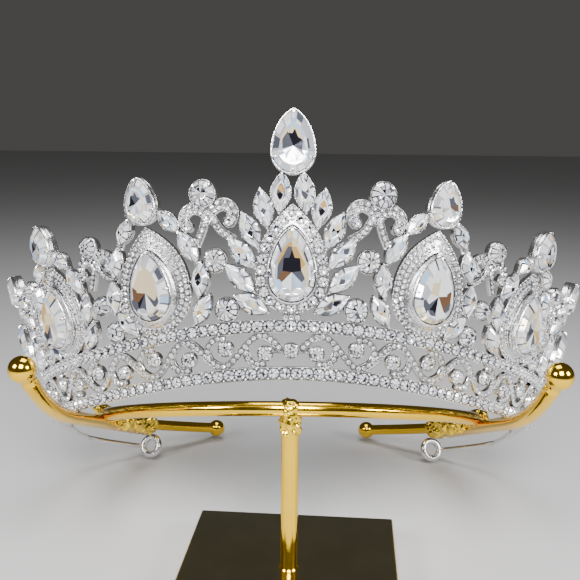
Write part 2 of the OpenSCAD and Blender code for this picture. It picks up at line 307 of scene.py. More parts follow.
def finish(piece, look, smooth=None, *nodes):
    """Gives the piece its material and its shading, attaches it to its body and hides the imported parts that
    it replaces.
    """
    only(piece)
    piece.data.materials.clear()
    piece.data.materials.append(material(look))
    if smooth:
        bpy.ops.object.shade_smooth_by_angle(angle=math.radians(smooth))
    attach(piece, BODY)
    if nodes:
        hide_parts(*nodes)


# Outlines, in millimetres

# How fast a pear's sides close in on its point, and how full a marquise is
PEAR_TAPER = 1.4
MARQUISE_SWELL = 1.8


def turns(count):
    """Evenly spaced angles round a circle."""
    return [2 * math.pi * k / count for k in range(count)]


def pear(r, h, count):
    """Round below with radius r, pointed h above its middle."""
    points = []
    for k in range(2 * count):
        a = math.pi / count * k
        if k <= count:
            points.append((-r * math.cos(a), -r * math.sin(a)))
        else:
            x = math.copysign(abs(math.cos(a)) ** PEAR_TAPER, math.cos(a))
            points.append((-r * x, -h * math.sin(a)))
    return points


def marquise(length, width, count=14):
    points = []
    for a in turns(count):
        y = math.cos(a)
        x = math.copysign(width / 2 * (1 - abs(y) ** MARQUISE_SWELL), math.sin(a))
        points.append((x, length / 2 * y))
    return points


def disc(d, count):
    return [(d / 2 * math.cos(a), d / 2 * math.sin(a)) for a in turns(count)]


def level(outline, z, share=1.0, grow=0.0):
    """An outline at height z, shrunk by share and then grown by a distance from its middle."""
    ring = []
    for x, y in outline:
        length = math.hypot(x, y) or 1
        ring.append((x * share + x / length * grow, y * share + y / length * grow, z))
    return ring


# Stones

def paired(outline, share=0.12):
    """Cuts each corner of an outline off narrowly, so that narrow facets lie between wide ones."""
    points = []
    last = len(outline)
    for k, (x, y) in enumerate(outline):
        for nx, ny in (outline[k - 1], outline[(k + 1) % last]):
            points.append((x + (nx - x) * share, y + (ny - y) * share))
    return points


def starred(outline, depth):
    """Moves the corners of a paired outline in and out by turns, so that its facets end in points."""
    swings = (1 - depth, 1 - depth, 1 + depth, 1 + depth)
    return [(x * swings[k % 4], y * swings[k % 4]) for k, (x, y) in enumerate(outline)]


# Height in mm (a pave stone's as a share of its diameter), the table's share of the outline, the share of
# the table within its outer ring of facets, how far the facets' corners move in and out, the sectors that
# have one tone each (0 for single facets), and the mix of tones
Cut = namedtuple("Cut", "height table inner star sectors mix")
CUTS = {
    "pear": Cut(2.5, 0.74, 0.88, -0.1, 8, "large"),
    "finial": Cut(2.1, 0.68, 0.84, -0.1, 7, "large"),
    "round": Cut(1.7, 0.66, 0.76, 0.0, 0, "round"),
    "leaf": Cut(1.6, 0.56, 0.76, 0.0, 6, "leaf"),
    "gallery": Cut(1.1, 0.62, 0.76, 0.0, 0, "round"),
    "pave": Cut(0.34, 0.58, 0.76, 0.0, 0, "pave"),
}
# Share of the table that its innermost ring of facets takes up
CORE = 0.68
# Depth of the table's middle below its edge, as a share of the stone's height
DISH = 0.08


def cut_stone(kind, outline):
    """A crown with two rows of facets, and three rings of facets seen through the table."""
    cut = CUTS[kind]
    h = cut.height
    rings = [level(outline, 0, 0.9), level(outline, h * 0.2), level(outline, h * 0.34, 0.985),
             level(outline, h * 0.78, (1 + 2 * cut.table) / 3), level(outline, h, cut.table),
             level(starred(outline, -cut.star / 3), h * (1 - DISH / 4), cut.table * cut.inner),
             level(starred(outline, cut.star), h * (1 - DISH / 2), cut.table * CORE)]
    stone = loft(kind, rings, poke=-DISH / 2 * h)
    only(stone)
    bpy.ops.object.mode_set(mode="EDIT")
    bpy.ops.mesh.select_all(action="SELECT")
    bpy.ops.mesh.quads_convert_to_tris(quad_method="LONGEST_DIAGONAL", ngon_method="BEAUTY")
    bpy.ops.object.mode_set(mode="OBJECT")
    return stone


def pave_stone(d, corners):
    """A small round stone with one row of facets and a table, and its outline."""
    cut = CUTS["pave"]
    outline = paired(disc(d, corners), 0.13)
    rings = [level(outline, 0, 0.8), level(outline, d * 0.16), level(outline, d * cut.height, cut.table)]
    return loft("pave", rings, poke=-0.05 * d), outline


# Shares of the painted reflection tones on a stone's parts: seen through the table, on the crown, and on the
# narrow facets
TABLE, CROWN, NARROW = range(3)
FACET_SHARES = {
    "large": (
        {"clear": 0.26, "pearl": 0.22, "slate": 0.18, "night": 0.14,
         "amber": 0.06, "straw": 0.08, "sky": 0.06},
        {"clear": 0.6, "pearl": 0.22, "slate": 0.06, "straw": 0.06, "sky": 0.06},
        {"slate": 0.2, "pearl": 0.8}),
    "round": (
        {"clear": 0.44, "pearl": 0.18, "slate": 0.2, "night": 0.12, "straw": 0.06},
        {"clear": 0.7, "pearl": 0.2, "slate": 0.1},
        {"night": 0.4, "slate": 0.6}),
    "leaf": (
        {"clear": 0.34, "pearl": 0.2, "slate": 0.18, "night": 0.1,
         "amber": 0.04, "straw": 0.08, "sky": 0.06},
        {"clear": 0.62, "pearl": 0.2, "slate": 0.08, "straw": 0.05, "sky": 0.05},
        {"slate": 0.5, "pearl": 0.5}),
    "pave": (
        {"clear": 0.46, "pearl": 0.2, "slate": 0.2, "night": 0.14},
        {"clear": 0.8, "pearl": 0.2},
        {"night": 0.35, "slate": 0.65}),
}
# Range by which a facet's painted reflection tone is made darker or lighter
TONE_RANGE = (0.85, 1.05)
# The painted reflections in the pear stones' tables by sector, anticlockwise from three o'clock: outer ring,
# inner ring, core
PEAR_REFLECTIONS = {
    "c": ("straw straw amber pearl sky clear clear straw",
          "straw amber slate slate sky pearl clear pearl",
          "slate night night umber clear clear pearl sky"),
    "l1": ("clear straw clear pearl slate clear straw clear",
           "straw straw straw umber slate pearl clear slate",
           "straw straw straw umber night slate clear slate"),
    "r1": ("clear clear clear pearl slate clear clear pearl",
           "umber clear clear pearl slate slate clear slate",
           "umber clear straw clear slate night clear umber"),
    "l2": ("clear straw amber clear slate clear straw clear",
           "straw clear amber straw night pearl clear straw",
           "pearl straw straw amber night slate clear pearl"),
    "r2": ("clear pearl straw clear slate clear clear pearl",
           "pearl clear straw slate slate clear pearl amber",
           "amber straw pearl night slate clear slate straw"),
}
# The same painted reflections for the finial stones, with seven sectors
FINIAL_REFLECTIONS = {
    "c": ("clear sky straw pearl clear clear pearl",
          "pearl straw slate sky clear pearl clear",
          "slate night slate pearl clear clear pearl"),
    "l1": ("clear clear pearl clear straw clear clear",
           "clear pearl clear slate pearl clear straw",
           "clear slate night pearl clear pearl clear"),
    "r1": ("clear straw clear clear pearl clear clear",
           "slate clear clear amber clear pearl clear",
           "umber slate clear pearl clear clear pearl"),
}


def corner_and_share(point, angles, lengths):
    """The outline's corner in whose direction a point lies, and the point's share of the way out to it."""
    off = angles - math.atan2(point.y, point.x)
    corner = int(np.argmin(np.abs(np.arctan2(np.sin(off), np.cos(off)))))
    return corner, math.hypot(point.x, point.y) / lengths[corner]


def facet_group(face, middle, corners, reach, cut, last):
    """The part of the stone that a facet lies on, and the name of its group of one tone."""
    narrow = len({corner // 2 for corner in corners}) == 1
    if reach < cut.table + 0.02 and (cut.sectors or not narrow):
        ring = "outer"
        if middle in face.vertices:
            ring = "core"
        elif reach < cut.table * (1 + cut.inner) / 2:
            ring = "inner"
        place = min(corners)
        if cut.sectors:
            turn = math.atan2(face.center.y, face.center.x) / (2 * math.pi)
            place = int(turn * cut.sectors + cut.sectors) % cut.sectors
        return (CROWN if ring == "outer" else TABLE), (ring, place)
    if narrow:
        return NARROW, ("narrow", min(corners) // 2)
    return CROWN, (round(reach, 2), -1 if last in corners else min(corners))


def facet_groups(stone, outline, cut):
    """For each facet the number of its group, and for each group its part and its name."""
    mesh = stone.data
    middle = len(mesh.vertices) - 1
    angles = np.array([math.atan2(y, x) for x, y in outline])
    lengths = np.array([math.hypot(x, y) for x, y in outline])
    names, parts, groups = [], [], []
    for face in mesh.polygons:
        points = [mesh.vertices[i].co for i in face.vertices if i != middle]
        found = [corner_and_share(point, angles, lengths) for point in points]
        corners = {corner for corner, _ in found}
        reach = max(share for _, share in found)
        part, name = facet_group(face, middle, corners, reach, cut, len(outline) - 1)
        if name not in names:
            names.append(name)
            parts.append(part)
        groups.append(names.index(name))
    return groups, parts, names


# Draws painted reflection tones for the facets at random by their shares
def tones(shares, shape, rng):
    looks = stone_looks()
    palette = np.array([list(getattr(looks, name)) + [1.0] for name in shares])
    odds = np.array(list(shares.values()))
    picks = palette[rng.choice(len(palette), size=shape, p=odds / odds.sum())]
    picks[..., :3] *= rng.uniform(*TONE_RANGE, size=(*shape, 1))
    return np.clip(picks, 0, 1)


def painted(stone, outline, kind, places, name, seed, reflection_chart=()):
    """Copies a stone to its places and gives its facets tones of painted reflection, the light and dark
    patches that foil-backed crystal shows.
    """
    looks = stone_looks()
    groups, parts, names = facet_groups(stone, outline, CUTS[kind])
    rng = np.random.default_rng(looks.seed + seed)
    shape = (len(places), len(parts))
    choices = np.stack([tones(shares, shape, rng) for shares in FACET_SHARES[CUTS[kind].mix]])
    picks = choices[np.array(parts), :, np.arange(len(parts))]
    # Painted reflections: the charted sectors take their given tones
    for ring, row in zip(("outer", "inner", "core"), reflection_chart):
        for k, tone in enumerate(row.split()):
            if (ring, k) in names:
                picks[names.index((ring, k)), :, :3] = getattr(looks, tone)
    piece = copies(stone, places, name)
    faces = picks[groups].transpose(1, 0, 2).reshape(-1, 4)
    # The painted reflection tones go into the facet colour attribute
    layer = piece.data.color_attributes.new(name="facet", type="FLOAT_COLOR", domain="CORNER")
    loops = [face.loop_total for face in piece.data.polygons]
    layer.data.foreach_set("color", np.repeat(faces, loops, axis=0).ravel())
    return piece


# Materials

# Size of a metal's soft patches, and how far they go into its light tone
PATCH_SCALE = 90.0
PATCH_SPAN = (0.0, 1.3)
# The polish varies between these shares of a finish's roughness
METAL_POLISH = (0.6, 1.7)
CRYSTAL_POLISH = (0.5, 1.6)
RELIEF_DEPTH = 0.2 * MM
# How near a surface has to be for painted shade to darken a hollow, and how the painted shade spreads
PAINTED_SHADE_REACH = 0.8 * MM
PAINTED_SHADE_SPAN = (-0.35, 1.25)
CRYSTAL_GRAIN = 500.0
# Strength of the painted glow that each facet gives off in its own tone
CRYSTAL_PAINTED_GLOW = 0.14
CRYSTAL_COAT = 0.35
COAT_ROUGH = 0.03
# Label, light and dark tone, roughness, depth and scale of the grain, and how much darker the painted shade
# makes hollows
METALS = {
    "silver": ("bright_silver_plate", (0.98, 0.97, 0.96), (0.74, 0.74, 0.77), 0.2, 0.3, 1400.0, 0.7),
    "gold": ("polished_gold_plate", (1.0, 0.65, 0.04), (0.88, 0.5, 0.02), 0.1, 0.12, 420.0, 0.0),
    "braze": ("crinkled_gold_plate", (1.0, 0.72, 0.06), (0.8, 0.46, 0.02), 0.16, 0.5, 900.0, 0.6),
    "plate": ("mirror_gold_plate", (0.68, 0.62, 0.36), (0.5, 0.46, 0.26), 0.13, 0.02, 260.0, 0.0),
}
# Label, metallic share and roughness
CRYSTALS = {
    "large": ("cut_crystal", 0.45, 0.05),
    "leaf": ("marquise_crystal", 0.4, 0.06),
    "pave": ("pave_crystal", 0.4, 0.08),
}
MATERIALS = {}


def new_material(name):
    made = bpy.data.materials.new(name)
    made.use_nodes = True
    nodes = made.node_tree.nodes
    return made, nodes, made.node_tree.links, nodes["Principled BSDF"]


def noise_on(nodes, links, scale, detail):
    coords = nodes.new("ShaderNodeTexCoord")
    noise = nodes.new("ShaderNodeTexNoise")
    noise.inputs["Scale"].default_value = scale
    noise.inputs["Detail"].default_value = detail
    links.new(coords.outputs["Object"], noise.inputs["Vector"])
    return noise.outputs["Fac"]


def span(nodes, links, source, low, high):
    node = nodes.new("ShaderNodeMapRange")
    node.inputs["To Min"].default_value = low
    node.inputs["To Max"].default_value = high
    links.new(source, node.inputs["Value"])
    return node.outputs["Result"]


def color_mix(nodes, dark):
    node = nodes.new("ShaderNodeMix")
    node.data_type = "RGBA"
    node.inputs["A"].default_value = (*dark, 1)
    return node


def painted_hollow_shade(nodes, links, tone, dark):
    """Paints shade: turns a tone towards a darker one where another surface is near."""
    hollow = nodes.new("ShaderNodeAmbientOcclusion")
    hollow.samples = 4
    hollow.inputs["Distance"].default_value = PAINTED_SHADE_REACH
    shade = color_mix(nodes, dark)
    links.new(tone, shade.inputs["B"])
    links.new(span(nodes, links, hollow.outputs["AO"], *PAINTED_SHADE_SPAN), shade.inputs["Factor"])
    return shade.outputs["Result"]


def metal(name, light, dark, rough, bump, grain, hollow_shade_share):
    """Plated metal: two tones in soft patches, fine grain, varying polish and, where its share is set,
    painted shade in hollows.
    """
    made, nodes, links, shader = new_material(name)
    patches = color_mix(nodes, dark)
    patches.inputs["B"].default_value = (*light, 1)
    noise = noise_on(nodes, links, PATCH_SCALE, 3.0)
    links.new(span(nodes, links, noise, *PATCH_SPAN), patches.inputs["Factor"])
    tone = patches.outputs["Result"]
    # Painted shade: darkens the tone where other surfaces are near, in creases and between parts
    if hollow_shade_share:
        tone = painted_hollow_shade(nodes, links, tone, [v * (1 - hollow_shade_share) for v in dark])
    links.new(tone, shader.inputs["Base Color"])
    fine = noise_on(nodes, links, grain, 2.0)
    low, high = METAL_POLISH
    links.new(span(nodes, links, fine, rough * low, rough * high), shader.inputs["Roughness"])
    relief = nodes.new("ShaderNodeBump")
    relief.inputs["Strength"].default_value = bump
    relief.inputs["Distance"].default_value = RELIEF_DEPTH
    links.new(fine, relief.inputs["Height"])
    links.new(relief.outputs["Normal"], shader.inputs["Normal"])
    shader.inputs["Metallic"].default_value = 1.0
    return made


def crystal(name, metallic, rough):
    """Crystal whose facets show painted reflections, each facet's tone from its colour attribute, and glow
    with that tone as painted light.
    """
    made, nodes, links, shader = new_material(name)
    tone = nodes.new("ShaderNodeAttribute")
    tone.attribute_name = "facet"
    links.new(tone.outputs["Color"], shader.inputs["Base Color"])
    # Painted light: the facet's painted reflection tone also glows
    links.new(tone.outputs["Color"], shader.inputs["Emission Color"])
    fine = noise_on(nodes, links, CRYSTAL_GRAIN, 2.0)
    low, high = CRYSTAL_POLISH
    links.new(span(nodes, links, fine, rough * low, rough * high), shader.inputs["Roughness"])
    shader.inputs["Emission Strength"].default_value = CRYSTAL_PAINTED_GLOW
    shader.inputs["Metallic"].default_value = metallic
    shader.inputs["Coat Weight"].default_value = CRYSTAL_COAT
    shader.inputs["Coat Roughness"].default_value = COAT_ROUGH
    return made


def material(look):
    """The finish of that name; all are made when the first is asked for."""
    if not MATERIALS:
        for key, values in METALS.items():
            MATERIALS[key] = metal(*values)
        for key, values in CRYSTALS.items():
            MATERIALS[key] = crystal(*values)
    return MATERIALS[look]


# The crests' dimensions

def is_tall(crest):
    return crest == "c"


def crest_angle(crest):
    return CREST_STEPS[crest] * sizes().crest_step


def crest_size(crest):
    return CREST_SIZES[abs(CREST_STEPS[crest])]


def crest_v():
    s = sizes()
    return 2 * s.rail_w + s.gallery_h


def lift(crest, v):
    return crest_v() + (v - crest_v()) * crest_size(crest)


# Radius and point of the pear and the finial, heights of their middles, how far the pear stands out, and
# the halo's half width, point and foot
CENTER = {"pear": (5.4, 11.8), "pear_v": 23.7, "rise": 0.9, "finial": (5.0, 9.6), "finial_v": 53.2,
          "halo": (8.6, 17.6, 8.2)}
SIDE = {"pear": (5.5, 10.8), "pear_v": 22.6, "rise": 1.8, "finial": (4.0, 7.0), "finial_v": 44.6,
        "halo": (9.7, 17.2, 8.8)}
FINIAL_RISE = 1.0
# Marquise stones: across, up, outward lean, length, width
CENTER_LEAVES = ((2.8, 43.8, -5, 9.6, 4.8), (6.8, 40.2, 10, 9.4, 4.7), (9.9, 35.2, 23, 9.4, 4.7),
                 (11.8, 30, 40, 9.6, 4.7), (12.2, 24.2, 45, 9.6, 4.7), (9.4, 18, 62, 9, 4.6))
INNER_LEAVES = ((6.3, 40, -42, 7.3, 4), (10.6, 33, -29, 9, 4.4),
                (12.5, 24.9, 8, 8.4, 4.4), (12, 17.7, 33, 8.2, 4.3))
OUTER_LEAVES = ((6.2, 39.9, -36, 7, 4), (9.8, 33.1, -22, 7.9, 4.3),
                (11.8, 25.1, -4, 8.4, 4.4), (8.6, 17.8, 40, 8, 4.2))
# Gaps between crests: top stone's angle and height, middle stone's, low stone's, scroll size
GAPS = {1: (13.9, 45, 12.55, 28.9, 11.1, 17.1, 1), 2: (36.4, 39, 35.7, 23.8, 33.6, 16.6, 0.86),
        3: (59.9, 36.5, 59.4, 23.6, 57.3, 16.4, 0.78)}
ROUND_D = {"top": 6.1, "mid": 5.3, "low": 5.4}
GALLERY_STONE_D = 3.4
# How far a stone's base lies over its seat
STONE_GAP = 0.2
LOOP_WIRE = 2.4


def crest_part(crest, part):
    """The size of a crest's pear, finial or halo, the height of a middle (_v), or the pear's rise."""
    value = (CENTER if is_tall(crest) else SIDE)[part]
    if part == "rise":
        return value
    if part.endswith("_v"):
        return lift(crest, value)
    return tuple(x * crest_size(crest) for x in value)


def crest_seat(crest, part, out):
    """Frame of a crest's pear or finial."""
    return seat_matrix(crest_angle(crest), crest_part(crest, part + "_v"), 0, out)


def pear_out(crest):
    """How far out a pear's seat lies."""
    return crest_part(crest, "rise") - sizes().halo_sink


def crest_leaves(crest):
    """The marquises of both sides: across, up, outward lean, length and width."""
    inward = -1 if crest_angle(crest) > 0 else 1
    rows = (CENTER_LEAVES, CENTER_LEAVES) if is_tall(crest) else (INNER_LEAVES, OUTER_LEAVES)
    size = crest_size(crest)
    for side, leaves in zip((inward, -inward), rows):
        for u, v, lean, length, width in leaves:
            yield side * u * size, lift(crest, v), side * lean, length * size, width * size


def leaf_places(crest, out=0.0):
    t = crest_angle(crest)
    for u, v, lean, length, width in crest_leaves(crest):
        yield seat_matrix(across(t, u, v), v, -lean, out), length, width


def gap_rounds():
    """Each round stone of the gaps: node name, angle, height and diameter."""
    for number, row in GAPS.items():
        for side, sign in (("l", -1), ("r", 1)):
            for k, kind in enumerate(("top", "mid", "low")):
                name = f"{kind}_round_{side}{number}"
                yield name, sign * row[2 * k], row[2 * k + 1], ROUND_D[kind] * row[6]


# Ribbons and paths


def ribbon(name, path, width, back, front, lip=0.32, sink=0.22):
    """A strip along a flat path with a raised edge on both sides of its stone channel."""
    h = width / 2
    foot = h - lip - 0.04
    profile = [(-h + 0.2, back), (h - 0.2, back), (h, back + 0.3), (h, front - 0.1), (h - 0.1, front),
               (h - lip, front), (foot, front - sink), (-foot, front - sink), (-h + lip, front),
               (-h + 0.1, front), (-h, front - 0.1), (-h, back + 0.3)]
    rings = []
    for i, point in enumerate(path):
        a, b = path[max(i - 1, 0)], path[min(i + 1, len(path) - 1)]
        d = Vector((b[0] - a[0], b[1] - a[1])).normalized()
        rings.append([(point[0] - d.y * x, point[1] + d.x * x, z) for x, z in profile])
    return sweep(name, rings)


def smooth_path(points, per_leg=5):
    """A round curve through given points."""
    curve = []
    last = len(points) - 1
    for i in range(last):
        p0, p1, p2, p3 = (Vector(points[min(max(j, 0), last)]) for j in (i - 1, i, i + 1, i + 2))
        for k in range(per_leg):
            t = k / per_leg
            curve.append(0.5 * (2 * p1 + (p2 - p0) * t + (2 * p0 - 5 * p1 + 4 * p2 - p3) * t * t
                                + (3 * p1 - p0 - 3 * p2 + p3) * t ** 3))
    curve.append(Vector(points[last]))
    return curve


def stations(path, pitch, inset):
    """Evenly spaced places along a flat path, as (point, direction in degrees)."""
    legs = [(b - a).length for a, b in zip(path, path[1:])]
    total = sum(legs) - 2 * inset
    count = max(int(round(total / pitch)), 1)
    for k in range(count + 1):
        want = inset + total * k / count
        i = 0
        while i < len(legs) - 1 and want > legs[i]:
            want -= legs[i]
            i += 1
        step = path[i + 1] - path[i]
        yield path[i] + step * (want / legs[i]), math.degrees(math.atan2(step.y, step.x))


def turn_places(path, pitch, t, out, inset=0.0, closed=False):
    """Seats along a wrapped path, each turned along it."""
    spots = list(stations(path, pitch, inset))
    if closed:
        spots = spots[:-1]
    return [seat_matrix(across(t, p.x, p.y), p.y, a, out) for p, a in spots]


def end_place(path, t, out=0.0):
    """Seat at the end of a wrapped path."""
    end = path[-1]
    return seat_matrix(across(t, end.x, end.y), end.y, 0, out)


def beside(places, off):
    """Places moved sideways from their row."""
    return [place @ Matrix.Translation((0, off, 0)) for place in places]


# The gallery

# Distance from the middle to the wave's first crest, and between the wave's crests and the rails
FIRST_SCROLL = 6.8
WAVE_MARGIN = 0.6
# A curl's middle past its wave crest, half width, half height and drop
CURL = (0.5, 3, 3.05, 0.3)
CURL_ANGLES = range(34, -136, -17)
# How far a gallery stone lies before its wave crest and off the middle line, and the middle one's drop
STONE_BACK = 1
STONE_OFF = 0.8
MIDDLE_DROP = 0.2


def rails():
    """Height and flat half length of each rail."""
    s = sizes()
    for v in (s.rail_w / 2, s.rail_w * 1.5 + s.gallery_h):
        yield v, math.radians(s.band_half) * wall_r(v)


def gallery_middle():
    s = sizes()
    return s.rail_w + s.gallery_h / 2


def gallery_u(i):
    return FIRST_SCROLL + i * sizes().scroll_pitch


def half_waves():
    s = sizes()
    return int((math.radians(s.band_half) * s.base_r - FIRST_SCROLL) / s.scroll_pitch)


def to_base(path):
    """The gallery's across distances are measured at the lower edge, so they widen with the wall."""
    base = sizes().base_r
    return [Vector((x * wall_r(y) / base, y)) for x, y in path]


def wave_path(side):
    s = sizes()
    high = s.gallery_h / 2 - WAVE_MARGIN
    steps = 8
    path = []
    for i in range(-steps // 2, half_waves() * steps + 1):
        x = side * (gallery_u(0) + i * s.scroll_pitch / steps)
        path.append((x, gallery_middle() + high * math.cos(math.pi * i / steps)))
    return to_base(path)


def curl_path(side, i):
    off, wide, high, low = CURL
    up = 1 if i % 2 == 0 else -1
    path = []
    for degrees in CURL_ANGLES:
        a = math.radians(degrees)
        x = side * (gallery_u(i) + off + wide * math.cos(a))
        path.append((x, gallery_middle() + up * (high * math.sin(a) - low)))
    return to_base(path)


def gallery_stone_places(out):
    mid = gallery_middle()
    yield seat_matrix(0, mid - MIDDLE_DROP, 0, out)
    for side in (-1, 1):
        for i in range(half_waves()):
            t = math.degrees((gallery_u(i) - STONE_BACK) / sizes().base_r)
            yield seat_matrix(side * t, mid - (STONE_OFF if i % 2 == 0 else -STONE_OFF), 0, out)


# Lyres and halos

LYRE_CURL = ((-0.5, -1.6), (0.3, 0.4), (1.7, 1.9), (3.9, 2.5), (5.7, 1.5), (6.1, -0.3), (5.2, -1.7))
LYRE_LEGS = (((0.3, 0.6), (0.9, -1.2), (1.9, -3.6), (3.4, -6.4)),
             ((-0.5, 0.6), (-1.6, -1.4), (-3.2, -3.8), (-6.0, -6.0)))
# A lyre has two scrolls and then its legs; width of the scrolls and the legs' share of it
SCROLLS = 2
LYRE_W = 3.0
LEG_SHARE = 0.7
# A lyre's waist, in degrees and mm from the gap's top stone
WAIST_BACK = 0.5
WAIST_DROP = 5.6
BLOB_D = 2.7
# How early a halo's straight sides leave for its point, and how much faster the point draws in
HALO_POINT = 2.6
POINT_PULL = 1.5
HALO_STEPS = 24


def lyres():
    """Angle, waist height, size and side of each scrolled lyre."""
    for row in GAPS.values():
        k = row[6]
        for side in (-1, 1):
            yield side * (row[0] - WAIST_BACK * k), row[1] - WAIST_DROP * k, k, side


def lyre_paths(waist_v, k, side):
    """Width and flat path of a lyre's two scrolls and two legs."""
    shapes = [(LYRE_W, mirror * side, LYRE_CURL) for mirror in (-1, 1)]
    shapes += [(LYRE_W * LEG_SHARE, side, leg) for leg in LYRE_LEGS]
    for width, turn, points in shapes:
        yield width * k, [Vector((turn * p.x * k, waist_v + p.y * k)) for p in smooth_path(points)]


def halo_outline(crest, share):
    """Points round the halo, pulled in by share: round below, straight sides up to a point."""
    w, top, low = crest_part(crest, "halo")
    v = crest_part(crest, "pear_v")
    points = []
    for k in range(2 * HALO_STEPS):
        a = math.pi / HALO_STEPS * k
        x, y = -math.cos(a), -math.sin(a)
        reach = low - share
        if y > 0:
            x = math.copysign(1 - y ** HALO_POINT, x)
            reach = top - POINT_PULL * share
        points.append(Vector((x * (w - share), v + y * reach)))
    return points


def halo_path(crest, share):
    """The halo's outline as a closed path that starts at its foot."""
    ring = halo_outline(crest, share)
    ring = ring[HALO_STEPS // 2:] + ring[:HALO_STEPS // 2]
    return ring + [ring[0]]


def outside_cup(crest, point, room):
    """Whether a point of the halo lies clear of the pear's cup by room."""
    r, h = crest_part(crest, "pear")
    y = point.y - crest_part(crest, "pear_v")
    if y <= 0:
        return math.hypot(point.x, y) > r + room
    share = min(y / (h + POINT_PULL * room), 1)
    return abs(point.x) > (r + room) * (1 - share ** 2) ** (PEAR_TAPER / 2)


class TIARA_OT_rails(bpy.types.Operator):
    """Two rails, each a channel with raised edges"""

    bl_idname = "tiara.rails"
    bl_label = "Rails"

    def execute(self, context):
        s = sizes()
        steps = 110
        made = []
        for v, half in rails():
            path = [Vector((half * (2 * k / steps - 1), v)) for k in range(steps + 1)]
            made.append(wrap(ribbon("rail", path, s.rail_w, -s.metal_t, 0.25, lip=0.3, sink=0.3)))
        finish(join(made, "rails"), "silver", 35, "tiara_frame")
        return {"FINISHED"}


class TIARA_OT_gallery(bpy.types.Operator):
    """The waving ribbon and curls between the rails, the cups on them and the middle stone's link"""

    bl_idname = "tiara.gallery"
    bl_label = "Scroll gallery"

    def execute(self, context):
        back = -sizes().metal_t
        made = []
        for side in (-1, 1):
            made.append(wrap(ribbon("wave", wave_path(side), 1.8, 0.2 + back, 0.0, lip=0.22, sink=0.2)))
            for i in range(half_waves()):
                curl = ribbon("curl", curl_path(side, i), 1.7, 0.4 + back, -0.12, lip=0.2, sink=0.2)
                made.append(wrap(curl))
        finish(join(made, "gallery_scrolls"), "silver", 35, "tiara_frame")
        cup = seat("gallery_cup", disc(GALLERY_STONE_D, 16))
        finish(copies(cup, gallery_stone_places(0.0), "gallery_cups"), "silver", 40)
        path = [Vector((x, gallery_middle() - MIDDLE_DROP)) for x in (-5.8, -3.5, 3.5, 5.8)]
        finish(wrap(ribbon("link", path, 1.3, 0.2 + back, -0.3)), "silver", 35)
        return {"FINISHED"}


# Cups and claws

# Wall, height of the rim and depth of the pocket of each kind of cup
CUPS = {
    "pear_cup": (0.62, 1.0, 0.85),
    "finial_cup": (0.42, 0.75, 0.6),
    "leaf_cup": (0.3, 0.45, 0.3),
    "round_cup": (0.42, 0.7, 0.5),
    "gallery_cup": (0.32, 0.55, 0.3),
    "blob": (0.2, 0.3, 0.25),
}
CUP_STEPS = 20
# Where the fine grooves of a tall cup lie, as shares of its height, and their half width
GROOVES = (0.45, 0.85)
GROOVE_HALF = 0.14
# Directions of the claws round each kind of stone
PEAR_CLAWS = (90, 20, 160, -50, -130)
FINIAL_CLAWS = (90, -15, 195, -90)
ROUND_CLAWS = (45, 135, 225, 315)
# Section of a halo: share of the way in from its edge to the cup, and height over its seat
HALO_SECTION = ((0, 0.35), (0.02, 0.45), (0.09, 0.45), (0.11, 0.2), (0.5, 0.28), (0.84, 0.4),
                (0.86, 0.75), (1.0, 0.8), (1.08, 0.2))


def seat(kind, outline, boss=0.0):
    """A closed cup round a stone: a wall, with two fine grooves where it is tall, a rounded rim, a pocket."""
    wall, top, pocket = CUPS[kind]
    back = -sizes().metal_t - boss
    section = [(0.25 + back, 0.5), (-0.1 - boss, 1)]
    if boss > 0.5:
        for share in GROOVES:
            z = -0.1 - boss * (1 - share)
            section += [(z - GROOVE_HALF, 1), (z, 0.7), (z + GROOVE_HALF, 1)]
    section += [(top - 0.12, 0.8), (top, 0.55), (top, 0.2)]
    rings = [level(outline, back, 0.9)] + [level(outline, z, 1, wall * share) for z, share in section]
    return loft(kind, rings + [level(outline, top - pocket, 1, 0.04)])


def halo(crest):
    """The pointed plate round a pear, with a low edge outside and a high one at the cup."""
    s = sizes()
    v = crest_part(crest, "pear_v")
    r, h = crest_part(crest, "pear")
    outer = [p - Vector((0, v)) for p in halo_outline(crest, 0)]
    inner = [Vector(p) for p in pear(r + 0.5, h + 1.0, HALO_STEPS)]
    section = [(0.06, -s.metal_t), (0, -s.metal_t + 0.2)]
    section += [(share, -s.halo_sink + z) for share, z in HALO_SECTION]
    rings = []
    for share, z in section:
        rings.append([(a.x * (1 - share) + b.x * share, v + a.y * (1 - share) + b.y * share, z)
                      for a, b in zip(outer, inner)])
    return wrap(loft("halo", rings), crest_angle(crest))


def halo_foot(crest):
    """The ribbon that joins a halo to the upper rail."""
    foot_v = crest_part(crest, "pear_v") - crest_part(crest, "halo")[2]
    path = [Vector((0, crest_v() - 0.8)), Vector((0, foot_v + 1.5))]
    return wrap(ribbon("foot", path, 4.4, 0.2 - sizes().metal_t, -0.1), crest_angle(crest))


class TIARA_OT_settings(bpy.types.Operator):
    """Halos, cups and leaf settings of the crests"""

    bl_idname = "tiara.settings"
    bl_label = "Crest settings"

    def execute(self, context):
        halos, cups, leaves = [], [], []
        for crest in CRESTS:
            halos += [halo(crest), halo_foot(crest)]
            cup = seat("pear_cup", pear(*crest_part(crest, "pear"), CUP_STEPS), crest_part(crest, "rise"))
            cups.append(copies(cup, [crest_seat(crest, "pear", pear_out(crest))], "cup"))
            cup = seat("finial_cup", pear(*crest_part(crest, "finial"), CUP_STEPS), FINIAL_RISE)
            cups.append(copies(cup, [crest_seat(crest, "finial", FINIAL_RISE)], "cup"))
            for place, length, width in leaf_places(crest):
                leaves.append(copies(seat("leaf_cup", marquise(length, width)), [place], "cup"))
        finish(join(halos, "halos"), "silver", 35, "tiara_frame")
        finish(join(cups, "stone_cups"), "silver", 40)
        finish(join(leaves, "leaf_cups"), "silver", 40)
        return {"FINISHED"}


